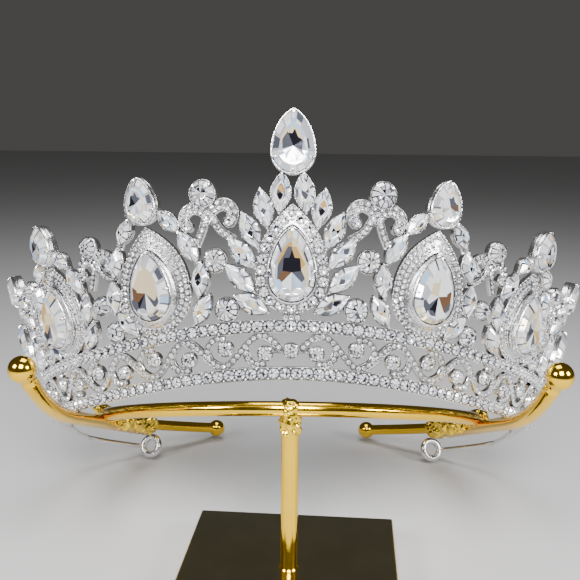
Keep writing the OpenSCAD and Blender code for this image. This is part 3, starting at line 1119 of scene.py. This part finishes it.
class TIARA_OT_lyres(bpy.types.Operator):
    """Scrolled lyres between the crests, the round stones' cups, and the stems behind the leaves"""

    bl_idname = "tiara.lyres"
    bl_label = "Lyres and stems"

    def execute(self, context):
        back = -sizes().metal_t
        made, cups = [], []
        for t, waist_v, k, side in lyres():
            for number, (width, path) in enumerate(lyre_paths(waist_v, k, side)):
                front = 0.05 - 0.1 * number
                strip = ribbon("scroll", path, width, 0.2 + back, front, lip=0.34 * k, sink=0.25)
                made.append(wrap(strip, t))
                if number < SCROLLS:
                    cups.append(copies(seat("blob", disc(BLOB_D * k, 14)), [end_place(path, t)], "cup"))
        for crest in CRESTS[1:]:
            rows = list(crest_leaves(crest))
            for leaves in (rows[:len(INNER_LEAVES)], rows[len(INNER_LEAVES):]):
                points = [(0, crest_part(crest, "finial_v"))] + [(u, v) for u, v, _, _, _ in leaves]
                stem = ribbon("stem", smooth_path(points, 4), 1.4, 0.3 + back, -0.5, lip=0.3, sink=0.05)
                made.append(wrap(stem, crest_angle(crest)))
        finish(join(made, "lyre_scrolls"), "silver", 35, "tiara_frame")
        for _, t, v, d in gap_rounds():
            cups.append(copies(seat("round_cup", disc(d, 18)), [seat_matrix(t, v)], "cup"))
        finish(join(cups, "round_cups"), "silver", 40)
        return {"FINISHED"}


def claw(reach, height):
    """A prong that rises beside a stone and bends over its edge, towards -x."""
    rings = []
    for x, z, r in ((0.12, -0.6, 0.34), (0.14, height * 0.4, 0.32), (0.02, height * 0.8, 0.3),
                    (-reach * 0.55, height, 0.27), (-reach, height * 0.98, 0.16)):
        rings.append([(x + r * 0.8 * math.cos(a), r * math.sin(a), z) for a in turns(6)])
    return loft("claw", rings)


def claw_place(seat_place, point):
    """A claw at a point of a stone's outline, facing its middle."""
    facing = Matrix.Rotation(math.atan2(point[1], point[0]), 4, "Z")
    return seat_place @ Matrix.Translation((*point, 0)) @ facing


def edge_claws(seat_place, outline, angles):
    """Claws where an outline reaches farthest in each direction from its middle."""
    places = []
    for degrees in angles:
        a = math.radians(degrees)
        point = max(outline, key=lambda p: (p[0] * math.cos(a) + p[1] * math.sin(a)) / math.hypot(*p))
        places.append(claw_place(seat_place, point))
    return places


class TIARA_OT_claws(bpy.types.Operator):
    """Claws over the edges of the larger stones"""

    bl_idname = "tiara.claws"
    bl_label = "Claws"

    def execute(self, context):
        large, small = [], []
        for crest in CRESTS:
            outline = pear(*crest_part(crest, "pear"), CUP_STEPS)
            large += edge_claws(crest_seat(crest, "pear", pear_out(crest) + 0.5), outline, PEAR_CLAWS)
            outline = pear(*crest_part(crest, "finial"), CUP_STEPS)
            large += edge_claws(crest_seat(crest, "finial", FINIAL_RISE + 0.2), outline, FINIAL_CLAWS)
            for place, length, width in leaf_places(crest):
                tips = ((0.0, length / 2), (0.0, -length / 2), (width * 0.46, 0.6), (-width * 0.46, -0.6))
                small += [claw_place(place, tip) for tip in tips]
        for _, t, v, d in gap_rounds():
            large += edge_claws(seat_matrix(t, v, 0, 0.1), disc(d, 24), ROUND_CLAWS)
        for place in gallery_stone_places(0.0):
            small += edge_claws(place, disc(GALLERY_STONE_D, 24), ROUND_CLAWS)
        finish(copies(claw(0.75, 1.35), large, "large_claws"), "silver", 50)
        finish(copies(claw(0.5, 1.0), small, "small_claws"), "silver", 50)
        return {"FINISHED"}


# Start of each group of stones' own random tones
FINIAL_SEED = 20
ROUND_SEED = 40
GALLERY_SEED = 90
PAVE_SEED = 100
LEAF_SEED = 200


def crest_stone(crest, part, out, seed, reflection_charts):
    """The pear or finial stone of a crest."""
    outline = paired(pear(*crest_part(crest, part), CUTS[part].sectors))
    place = crest_seat(crest, part, STONE_GAP + out)
    name = f"{part}_stone_{crest}"
    stone = painted(cut_stone(part, outline), outline, part, [place], name, seed, reflection_charts.get(crest, ()))
    finish(stone, "large", None, f"{part}_{crest}")


class TIARA_OT_large_stones(bpy.types.Operator):
    """Pear stones, finial stones and round stones"""

    bl_idname = "tiara.large_stones"
    bl_label = "Large stones"

    def execute(self, context):
        for number, crest in enumerate(CRESTS):
            crest_stone(crest, "pear", pear_out(crest), number, PEAR_REFLECTIONS)
            crest_stone(crest, "finial", FINIAL_RISE, FINIAL_SEED + number, FINIAL_REFLECTIONS)
        for number, (node, t, v, d) in enumerate(gap_rounds()):
            outline = paired(disc(d, 11))
            places = [seat_matrix(t, v, 0, STONE_GAP)]
            stone = cut_stone("round", outline)
            stone = painted(stone, outline, "round", places, node + "_stone", ROUND_SEED + number)
            finish(stone, "large", None, node)
        return {"FINISHED"}


class TIARA_OT_marquises(bpy.types.Operator):
    """Marquise stones of each crest"""

    bl_idname = "tiara.marquises"
    bl_label = "Marquise stones"

    def execute(self, context):
        for number, crest in enumerate(CRESTS):
            stones = []
            for k, (place, length, width) in enumerate(leaf_places(crest, STONE_GAP)):
                outline = paired(marquise(length, width, 10))
                seed = LEAF_SEED + 20 * number + k
                stones.append(painted(cut_stone("leaf", outline), outline, "leaf", [place], "leaf", seed))
            finish(join(stones, "marquise_stones_" + crest), "leaf", None, "marquises_" + crest)
        return {"FINISHED"}


class TIARA_OT_gallery_stones(bpy.types.Operator):
    """Round stones of the gallery"""

    bl_idname = "tiara.gallery_stones"
    bl_label = "Gallery stones"

    def execute(self, context):
        outline = paired(disc(GALLERY_STONE_D, 8))
        places = list(gallery_stone_places(STONE_GAP))
        stone = cut_stone("gallery", outline)
        stones = painted(stone, outline, "gallery", places, "gallery_round_stones", GALLERY_SEED)
        finish(stones, "large", None, "gallery_stones")
        return {"FINISHED"}


# Pave rows, in mm: pitch and inset on the rails, distance of the grains from the row's middle
RAIL_PITCH = 2.65
RAIL_INSET = 1.6
RAIL_GRAINS = 1.15
# The middle halo's single row: distance from the halo's edge, pitch, stones, distance of the grains
TALL_ROW = 1.35
TALL_PITCH = 2.62
TALL_STONE = 2.45
TALL_GRAINS = 1.1
# The side halos' rows, their pitch and stones, and the room that they leave round the cup
SIDE_ROWS = (0.95, 2.3, 3.65, 5.0)
SIDE_PITCH = 1.42
SIDE_STONE = 1.36
CUP_ROOM = 1.2
# Pitch on the ribbons and lyres, distance of a scroll's two lanes from its middle, stones of the lyres
FINE_PITCH = 1.4
LYRE_LANE = 0.66
LYRE_STONE = 1.25
LYRE_END_STONE = 2.3
GRAIN_R = 0.34


def rail_rows():
    """Seats of the rails' stones, and of the grains on both sides of each gap between them."""
    stones, grains = [], []
    for v, half in rails():
        path = [Vector((-half, v)), Vector((half, v))]
        stones += turn_places(path, RAIL_PITCH, 0, 0.0, inset=RAIL_INSET)
        gaps = turn_places(path, RAIL_PITCH, 0, 0.25, inset=RAIL_INSET + RAIL_PITCH / 2)
        for off in (-RAIL_GRAINS, RAIL_GRAINS):
            grains += beside(gaps, off)
    return stones, grains


def tall_halo_row(crest):
    """Seats of the row on the middle crest's halo, and of the grains outside its gaps."""
    t = crest_angle(crest)
    path = halo_path(crest, TALL_ROW)
    gaps = turn_places(path, TALL_PITCH / 2, t, 0.2, closed=True)[1::2]
    return turn_places(path, TALL_PITCH, t, -0.05, closed=True), beside(gaps, TALL_GRAINS)


def side_halo_rows(crest):
    """Seats of the rows on a side crest's halo, where they don't reach into the cup."""
    t = crest_angle(crest)
    seats = []
    for row in SIDE_ROWS:
        for p, a in list(stations(halo_path(crest, row), SIDE_PITCH, 0))[:-1]:
            if outside_cup(crest, p, CUP_ROOM):
                seats.append(seat_matrix(across(t, p.x, p.y), p.y, a, -0.12))
    return seats


def foot_row(crest):
    """Seats of the three stones on a halo's foot."""
    v = crest_part(crest, "pear_v") - crest_part(crest, "halo")[2] - 0.9
    return [seat_matrix(across(crest_angle(crest), u, v), v, 0, 0.0) for u in (-1.4, 0, 1.4)]


def gallery_rows():
    """Seats of the small stones on the wave and the curls."""
    seats = []
    for side in (-1, 1):
        seats += turn_places(wave_path(side), FINE_PITCH, 0, -0.26, inset=0.8)
        for i in range(half_waves()):
            seats += turn_places(curl_path(side, i), FINE_PITCH, 0, -0.36, inset=0.8)
    return seats


def lyre_rows():
    """Seats of the lyres' stones, two abreast on the scrolls, and of the stones on the scrolls' ends."""
    seats, ends = [], []
    for t, waist_v, k, side in lyres():
        for number, (_, path) in enumerate(lyre_paths(waist_v, k, side)):
            row = turn_places(path, FINE_PITCH * k, t, -0.1, inset=0.9)
            if number < SCROLLS:
                seats += beside(row, -LYRE_LANE * k) + beside(row, LYRE_LANE * k)
                ends.append(end_place(path, t, 0.05))
            else:
                seats += row
    return seats, ends


def lay(places, d, name, seed, corners):
    """Lays pave stones of one size on their seats."""
    stone, outline = pave_stone(d, corners)
    finish(painted(stone, outline, "pave", places, name, PAVE_SEED + seed), "pave")


class TIARA_OT_pave(bpy.types.Operator):
    """Rows of small round stones on the rails, halos and scrolls, with grains of metal that hold them"""

    bl_idname = "tiara.pave"
    bl_label = "Pave rows"

    def execute(self, context):
        looks = stone_looks()
        rows, grains = rail_rows()
        lay(rows, looks.rail_stone, "rail_stones", 0, 6)
        tall, small = [], []
        for crest in CRESTS:
            if is_tall(crest):
                row, beads = tall_halo_row(crest)
                tall += row
                grains += beads
            else:
                small += side_halo_rows(crest)
            grains += turn_places(halo_path(crest, 0.15), 1.3, crest_angle(crest), -0.05, closed=True)
            small += foot_row(crest)
        lay(tall, TALL_STONE, "halo_stones_tall", 1, 6)
        lay(small, SIDE_STONE, "halo_stones", 2, 5)
        lay(gallery_rows(), looks.ribbon_stone, "gallery_stones_small", 3, 5)
        fine, ends = lyre_rows()
        lay(fine, LYRE_STONE, "lyre_stones", 4, 5)
        lay(ends, LYRE_END_STONE, "lyre_end_stones", 5, 6)
        deselect()
        bpy.ops.mesh.primitive_ico_sphere_add(subdivisions=1, radius=GRAIN_R)
        finish(copies(bpy.context.object, grains, "metal_grains"), "silver", 80)
        return {"FINISHED"}


# End wires: angle, radius and height of the loop's middle, its turn from the side, its size
LOOP_ANGLE, LOOP_PLACE_R, LOOP_Z = 125.5, 62.7, 0.9
LOOP_TURN = 22
LOOP_R = 3.2
LOOP_WIRE = 2.4
# The same of the wire's bend on its way there
BEND_ANGLE, BEND_R, BEND_Z = 108, 73, 1.2
# The wire is thickest at the band and tapers at each step to its end
WIRE_START_R = 1.25
WIRE_END_R = 0.8
WIRE_TAPER = 0.06


def round_band(side, degrees, r, z):
    a = math.radians(degrees)
    return Vector((side * r * math.sin(a), -r * math.cos(a), z))


def end_wire(side):
    """A wire from the band's end to its hairpin loop, and the loop, in the tiara's frame."""
    turn = math.radians(LOOP_TURN)
    middle = round_band(side, LOOP_ANGLE, LOOP_PLACE_R, LOOP_Z)
    away = Vector((side * math.cos(turn), math.sin(turn), 0))
    start = on_wall(side * (sizes().band_half - 2.5), 2.0, -0.8)
    path = smooth_path([start, round_band(side, BEND_ANGLE, BEND_R, BEND_Z), middle + away * LOOP_R], 8)
    radii = [max(WIRE_END_R, WIRE_START_R - WIRE_TAPER * i) for i in range(len(path))]
    wire = sweep("wire", [tube_ring(path, i, radius, 10) for i, radius in enumerate(radii)])
    loop = [middle + LOOP_R * (away * math.cos(a) + Vector((0, 0, 1)) * math.sin(a)) for a in turns(28)]
    rings = [tube_ring(loop, i, LOOP_WIRE / 2, 12, closed=True) for i in range(len(loop))]
    return wire, sweep("loop", rings + [rings[0]])


class TIARA_OT_end_wires(bpy.types.Operator):
    """Plain wires with a hairpin loop on each end of the band"""

    bl_idname = "tiara.end_wires"
    bl_label = "End wires"

    def execute(self, context):
        made = [*end_wire(-1), *end_wire(1)]
        for piece in made:
            piece.data.transform(tiara_place())
        finish(join(made, "end_wires"), "silver", 60)
        return {"FINISHED"}


# Tubes

def tube_ring(path, i, radius, sides, closed=False):
    """A round section of a tube along a path in space."""
    last = len(path) - 1
    if closed:
        a, b = path[i - 1], path[(i + 1) % len(path)]
    else:
        a, b = path[max(i - 1, 0)], path[min(i + 1, last)]
    direction = (b - a).normalized()
    up = Vector((0, 1, 0)) if abs(direction.y) < 0.9 else Vector((0, 0, 1))
    x = direction.cross(up).normalized()
    y = direction.cross(x)
    return [path[i] + radius * (x * math.cos(q) + y * math.sin(q)) for q in turns(sides)]


def ball_profile(radius, neck, steps):
    """Distances along and radii of a ball that starts at a neck."""
    start = math.asin(neck / radius)
    for k in range(steps + 1):
        a = start + (math.pi - 0.06 - start) * k / steps
        yield radius * (math.cos(start) - math.cos(a)), radius * math.sin(a)


def rod(name, path, radii, sides=20):
    piece = sweep(name, [tube_ring(path, i, radius, sides) for i, radius in enumerate(radii)])
    piece.data.transform(Matrix.Scale(MM, 4))
    return piece


# The stand

# Rear end of an arm: across, back and over the plate; its ball: across and back
ARM_REAR = (51.3, 78.0, 5.0)
ARM_BALL = (58.5, -21.3)
# Straight length, bend radius and bend angle of an arm, length of the neck before its ball, and the
# neck's radius as a share of the rod's diameter
ARM_STRAIGHT = 80.4
ARM_BEND_R = 65.5
ARM_BEND = 24.5
NECK_L = 2.6
NECK_SHARE = 0.37
# Braze between the arm and the ring: along the arm, out towards the ring, diameter
BRAZE = ((50, 1.2, 4.4), (38, 2.6, 5.8), (25, 3.2, 6.4), (12, 2.6, 6.2), (0, 0.8, 5.6))
BRAZE_LUMPS = 44


def braze_lump(k):
    """Middle and radius of a lump; odd ones lie on the arm's inner side, the rest towards the ring."""
    along = BRAZE[0][0] * (1 - k / (BRAZE_LUMPS - 1))
    rows = BRAZE[::-1]
    out, d = (float(np.interp(along, [row[0] for row in rows], [row[j] for row in rows])) for j in (1, 2))
    sway, bob, swell = math.sin(2.4 * k), math.cos(1.7 * k), math.sin(3.1 * k)
    if k % 2:
        return (-1.5 + 0.7 * sway, -along, 1.6 + 0.8 * bob), d * (0.34 + 0.05 * swell)
    return (out + 1.2 * sway, -along, 2.8 + 0.9 * bob), d * (0.42 + 0.06 * swell)


def arm_matrix(side):
    """Frame of an arm: its rear end, with -y along it."""
    s = stand_sizes()
    heading = math.atan2(side * (ARM_BALL[0] - ARM_REAR[0]), ARM_REAR[1] - ARM_BALL[1])
    place = Matrix.Translation((side * ARM_REAR[0], ARM_REAR[1], s.plate_t + ARM_REAR[2]))
    return place @ Matrix.Rotation(heading, 4, "Z") @ rotation(-s.ring_tilt, "X")


def ring_point(angle):
    """A point on the stand's ring, by its angle from the rear."""
    s = stand_sizes()
    a = math.radians(90 + angle)
    flat = Vector((s.ring_r * math.cos(a), s.ring_r + s.ring_r * math.sin(a), 0))
    turn = rotation(-s.ring_tilt, "X")
    return Matrix.Translation((0, 0, s.plate_t + s.ring_rise)) @ (turn @ flat)


class STAND_OT_ring(bpy.types.Operator):
    """Open ring with its end balls"""

    bl_idname = "stand.ring"
    bl_label = "Ring"

    def execute(self, context):
        s = stand_sizes()
        steps = 150
        path = [ring_point(s.ring_open + (360 - 2 * s.ring_open) * k / steps) for k in range(steps + 1)]
        made = [rod("ring", path, [s.rod_d / 2] * len(path)), ball(path[0]), ball(path[-1])]
        finish(join(made, "stand_ring"), "gold", 60, "stand_frame")
        return {"FINISHED"}


def ball(middle):
    deselect()
    radius = stand_sizes().ball_d / 2 * MM
    bpy.ops.mesh.primitive_uv_sphere_add(segments=32, ring_count=20, radius=radius, location=middle * MM)
    bpy.ops.object.transform_apply(location=True, rotation=True, scale=True)
    return bpy.context.object


def crinkled(piece, voxel, scale, depth):
    """Fuses a piece into one skin and gives it the crinkles of poured metal; sizes in mm."""
    only(piece)
    fuse = piece.modifiers.new("fuse", "REMESH")
    fuse.mode = "VOXEL"
    fuse.voxel_size = voxel * MM
    bpy.ops.object.modifier_apply(modifier=fuse.name)
    crinkle = piece.modifiers.new("crinkle", "DISPLACE")
    crinkle.texture = bpy.data.textures.new("crinkle", "CLOUDS")
    crinkle.texture.noise_scale = scale * MM
    crinkle.strength = depth * MM
    bpy.ops.object.modifier_apply(modifier=crinkle.name)
    relax = piece.modifiers.new("relax", "SMOOTH")
    relax.iterations = 1
    bpy.ops.object.modifier_apply(modifier=relax.name)
    finish(piece, "braze", 50)


def arm_profile():
    """Points and radii along an arm: a rounded rear end, a straight, a bend, a neck and a ball."""
    s = stand_sizes()
    r = s.rod_d / 2
    path = [Vector((0, 0, 0)), Vector((0, -0.4, 0))]
    path += [Vector((0, -ARM_STRAIGHT * k / 6, 0)) for k in range(1, 7)]
    for k in range(1, 17):
        a = math.radians(ARM_BEND * k / 16)
        path.append(Vector((0, -ARM_STRAIGHT - ARM_BEND_R * math.sin(a), ARM_BEND_R * (1 - math.cos(a)))))
    radii = [r - 0.4] + [r] * (len(path) - 1)
    a = math.radians(ARM_BEND)
    ahead = Vector((0, -math.cos(a), math.sin(a)))
    end = path[-1]
    neck = s.rod_d * NECK_SHARE
    tip = [(0.5, r - 0.15), (0.9, neck)]
    tip += [(NECK_L + along, radius) for along, radius in ball_profile(s.ball_d / 2, neck, 14)]
    for along, radius in tip:
        path.append(end + ahead * along)
        radii.append(radius)
    return path, radii


class STAND_OT_arms(bpy.types.Operator):
    """Two arms that bend up to their balls, and the braze that joins them to the ring"""

    bl_idname = "stand.arms"
    bl_label = "Arms"

    def execute(self, context):
        made, lumps = [], []
        path, radii = arm_profile()
        for side in (-1, 1):
            place = arm_matrix(side)
            made.append(rod("arm", [place @ p for p in path], radii))
            for k in range(BRAZE_LUMPS):
                (out, along, up), radius = braze_lump(k)
                middle = place @ Vector((side * out, along, up)) * MM
                deselect()
                bpy.ops.mesh.primitive_ico_sphere_add(subdivisions=3, radius=radius * MM, location=middle)
                bpy.ops.object.transform_apply(location=True, rotation=True, scale=True)
                lumps.append(bpy.context.object)
        finish(join(made, "stand_arms"), "gold", 60, "stand_frame")
        crinkled(join(lumps, "braze_lumps"), 0.35, 1.7, 3.2)
        return {"FINISHED"}


def turned(name, heights):
    """A round piece on the post's axis from its heights and radii, in mm."""
    rings = [[(r * math.cos(a), r * math.sin(a), z) for a in turns(28)] for z, r in heights]
    piece = sweep(name, rings)
    piece.data.transform(Matrix.Scale(MM, 4))
    return piece


class STAND_OT_post(bpy.types.Operator):
    """Post with the crimped sleeve at its top"""

    bl_idname = "stand.post"
    bl_label = "Post"

    def execute(self, context):
        s = stand_sizes()
        foot = s.plate_t
        top = s.plate_t + s.ring_rise
        r = s.post_d / 2
        post = turned("stand_post", ((foot, r + 0.5), (foot + 0.5, r + 0.1), (foot + 0.8, r),
                                     (top, r), (top + 0.4, r - 0.5)))
        finish(post, "gold", 50, "stand_frame")
        sleeve = turned("post_sleeve", ((top - 6.3, r - 0.4), (top - 6.2, r + 0.45), (top - 4.4, r + 0.5),
                                        (top - 2.2, r + 0.4), (top + 0.4, r + 0.45), (top + 1.7, r + 0.1),
                                        (top + 2.2, r - 0.7)))
        crinkled(sleeve, 0.28, 1.5, 1.5)
        return {"FINISHED"}


class STAND_OT_base(bpy.types.Operator):
    """Square base plate with softened edges"""

    bl_idname = "stand.base"
    bl_label = "Base plate"

    def execute(self, context):
        s = stand_sizes()
        deselect()
        bpy.ops.mesh.primitive_cube_add(size=1)
        plate = bpy.context.object
        plate.name = "stand_base"
        size = Matrix.Diagonal((s.plate_w, s.plate_w, s.plate_t, 1))
        block = Matrix.Translation((0, 0, s.plate_t / 2)) @ size
        plate.data.transform(Matrix.Scale(MM, 4) @ rotation(s.plate_turn, "Z") @ block)
        only(plate)
        soften = plate.modifiers.new("edges", "BEVEL")
        soften.width = 0.5 * MM
        soften.segments = 3
        bpy.ops.object.modifier_apply(modifier=soften.name)
        finish(plate, "plate", 40, "base_plate")
        return {"FINISHED"}


# The stage, in metres: each light's place, size, power and colour, all aimed at the tiara's middle
LIGHTS = {
    "front": ((0.02, -0.38, 0.38), 0.22, 4, (1, 1, 1)),
    "key": ((-0.34, -0.24, 0.3), 0.14, 2.2, (1, 0.98, 0.95)),
    "fill": ((0.36, -0.2, 0.26), 0.14, 2.0, (1, 0.98, 0.95)),
    "top": ((0.0, 0.06, 0.42), 0.2, 0.7, (1, 1, 1)),
}
LIT_MIDDLE = (0, 0, 0.075)
ROOM_COLOR = (0.19, 0.185, 0.18, 1)
ROOM_LIGHT = 0.36
FLOOR_SIZE = 6
FLOOR_ROUGH = 0.6
FRAME_PX = 580
SENSOR_MM = 36


def area_light(name, place, size, power, color):
    data = bpy.data.lights.new(name, "AREA")
    data.size = size
    data.energy = power
    data.color = color
    light = bpy.data.objects.new(name, data)
    light.location = place
    light.rotation_euler = (Vector(LIT_MIDDLE) - Vector(place)).to_track_quat("-Z", "Y").to_euler()
    bpy.context.collection.objects.link(light)


def studio_camera(looks):
    data = bpy.data.cameras.new("camera")
    data.sensor_width = SENSOR_MM
    data.lens = looks.focal_px / FRAME_PX * SENSOR_MM
    data.clip_start = 0.01
    camera = bpy.data.objects.new("camera", data)
    turn = rotation(looks.camera_yaw, "Z") @ rotation(90 - looks.camera_pitch, "X")
    turn = turn @ rotation(looks.camera_roll, "Z")
    camera.matrix_world = Matrix.Translation(Vector(looks.camera_place) * MM) @ turn
    bpy.context.collection.objects.link(camera)
    bpy.context.scene.camera = camera


class STAGE_OT_studio(bpy.types.Operator):
    """Pale floor, soft light and the camera"""

    bl_idname = "stage.studio"
    bl_label = "Studio"

    def execute(self, context):
        looks = context.scene.tiara_stage
        deselect()
        bpy.ops.mesh.primitive_plane_add(size=FLOOR_SIZE)
        floor = context.object
        floor.name = "studio_floor"
        paint, _, _, shader = new_material("pale_floor")
        shader.inputs["Base Color"].default_value = (*looks.floor_color, 1)
        shader.inputs["Roughness"].default_value = FLOOR_ROUGH
        floor.data.materials.append(paint)
        world = bpy.data.worlds.new("studio")
        context.scene.world = world
        world.use_nodes = True
        background = world.node_tree.nodes["Background"]
        background.inputs["Color"].default_value = ROOM_COLOR
        background.inputs["Strength"].default_value = ROOM_LIGHT
        for name, light in LIGHTS.items():
            area_light(name, *light)
        studio_camera(looks)
        return {"FINISHED"}


STEPS = (STAGE_OT_studio, TIARA_OT_rails, TIARA_OT_gallery, TIARA_OT_settings, TIARA_OT_lyres, TIARA_OT_claws,
         TIARA_OT_large_stones, TIARA_OT_marquises, TIARA_OT_gallery_stones, TIARA_OT_pave,
         TIARA_OT_end_wires, STAND_OT_ring, STAND_OT_arms, STAND_OT_post, STAND_OT_base)


class VIEW3D_PT_tiara(bpy.types.Panel):
    """Lists the pieces of the tiara and its stand"""

    bl_label = "Crystal tiara"
    bl_idname = "VIEW3D_PT_tiara"
    bl_space_type = "VIEW_3D"
    bl_region_type = "UI"
    bl_category = "Tiara"

    def draw(self, context):
        for step in STEPS:
            self.layout.operator(step.bl_idname, text=step.bl_label)


CLASSES = (*SETTINGS.values(), *STEPS, VIEW3D_PT_tiara)


def register():
    for cls in CLASSES:
        bpy.utils.register_class(cls)
    for name, group in SETTINGS.items():
        setattr(bpy.types.Scene, name, PointerProperty(type=group))


def unregister():
    for name in SETTINGS:
        delattr(bpy.types.Scene, name)
    for cls in reversed(CLASSES):
        bpy.utils.unregister_class(cls)


def main():
    register()
    for step in STEPS:
        group, name = step.bl_idname.split(".")
        getattr(getattr(bpy.ops, group), name)()


if __name__ == "__main__":
    main()
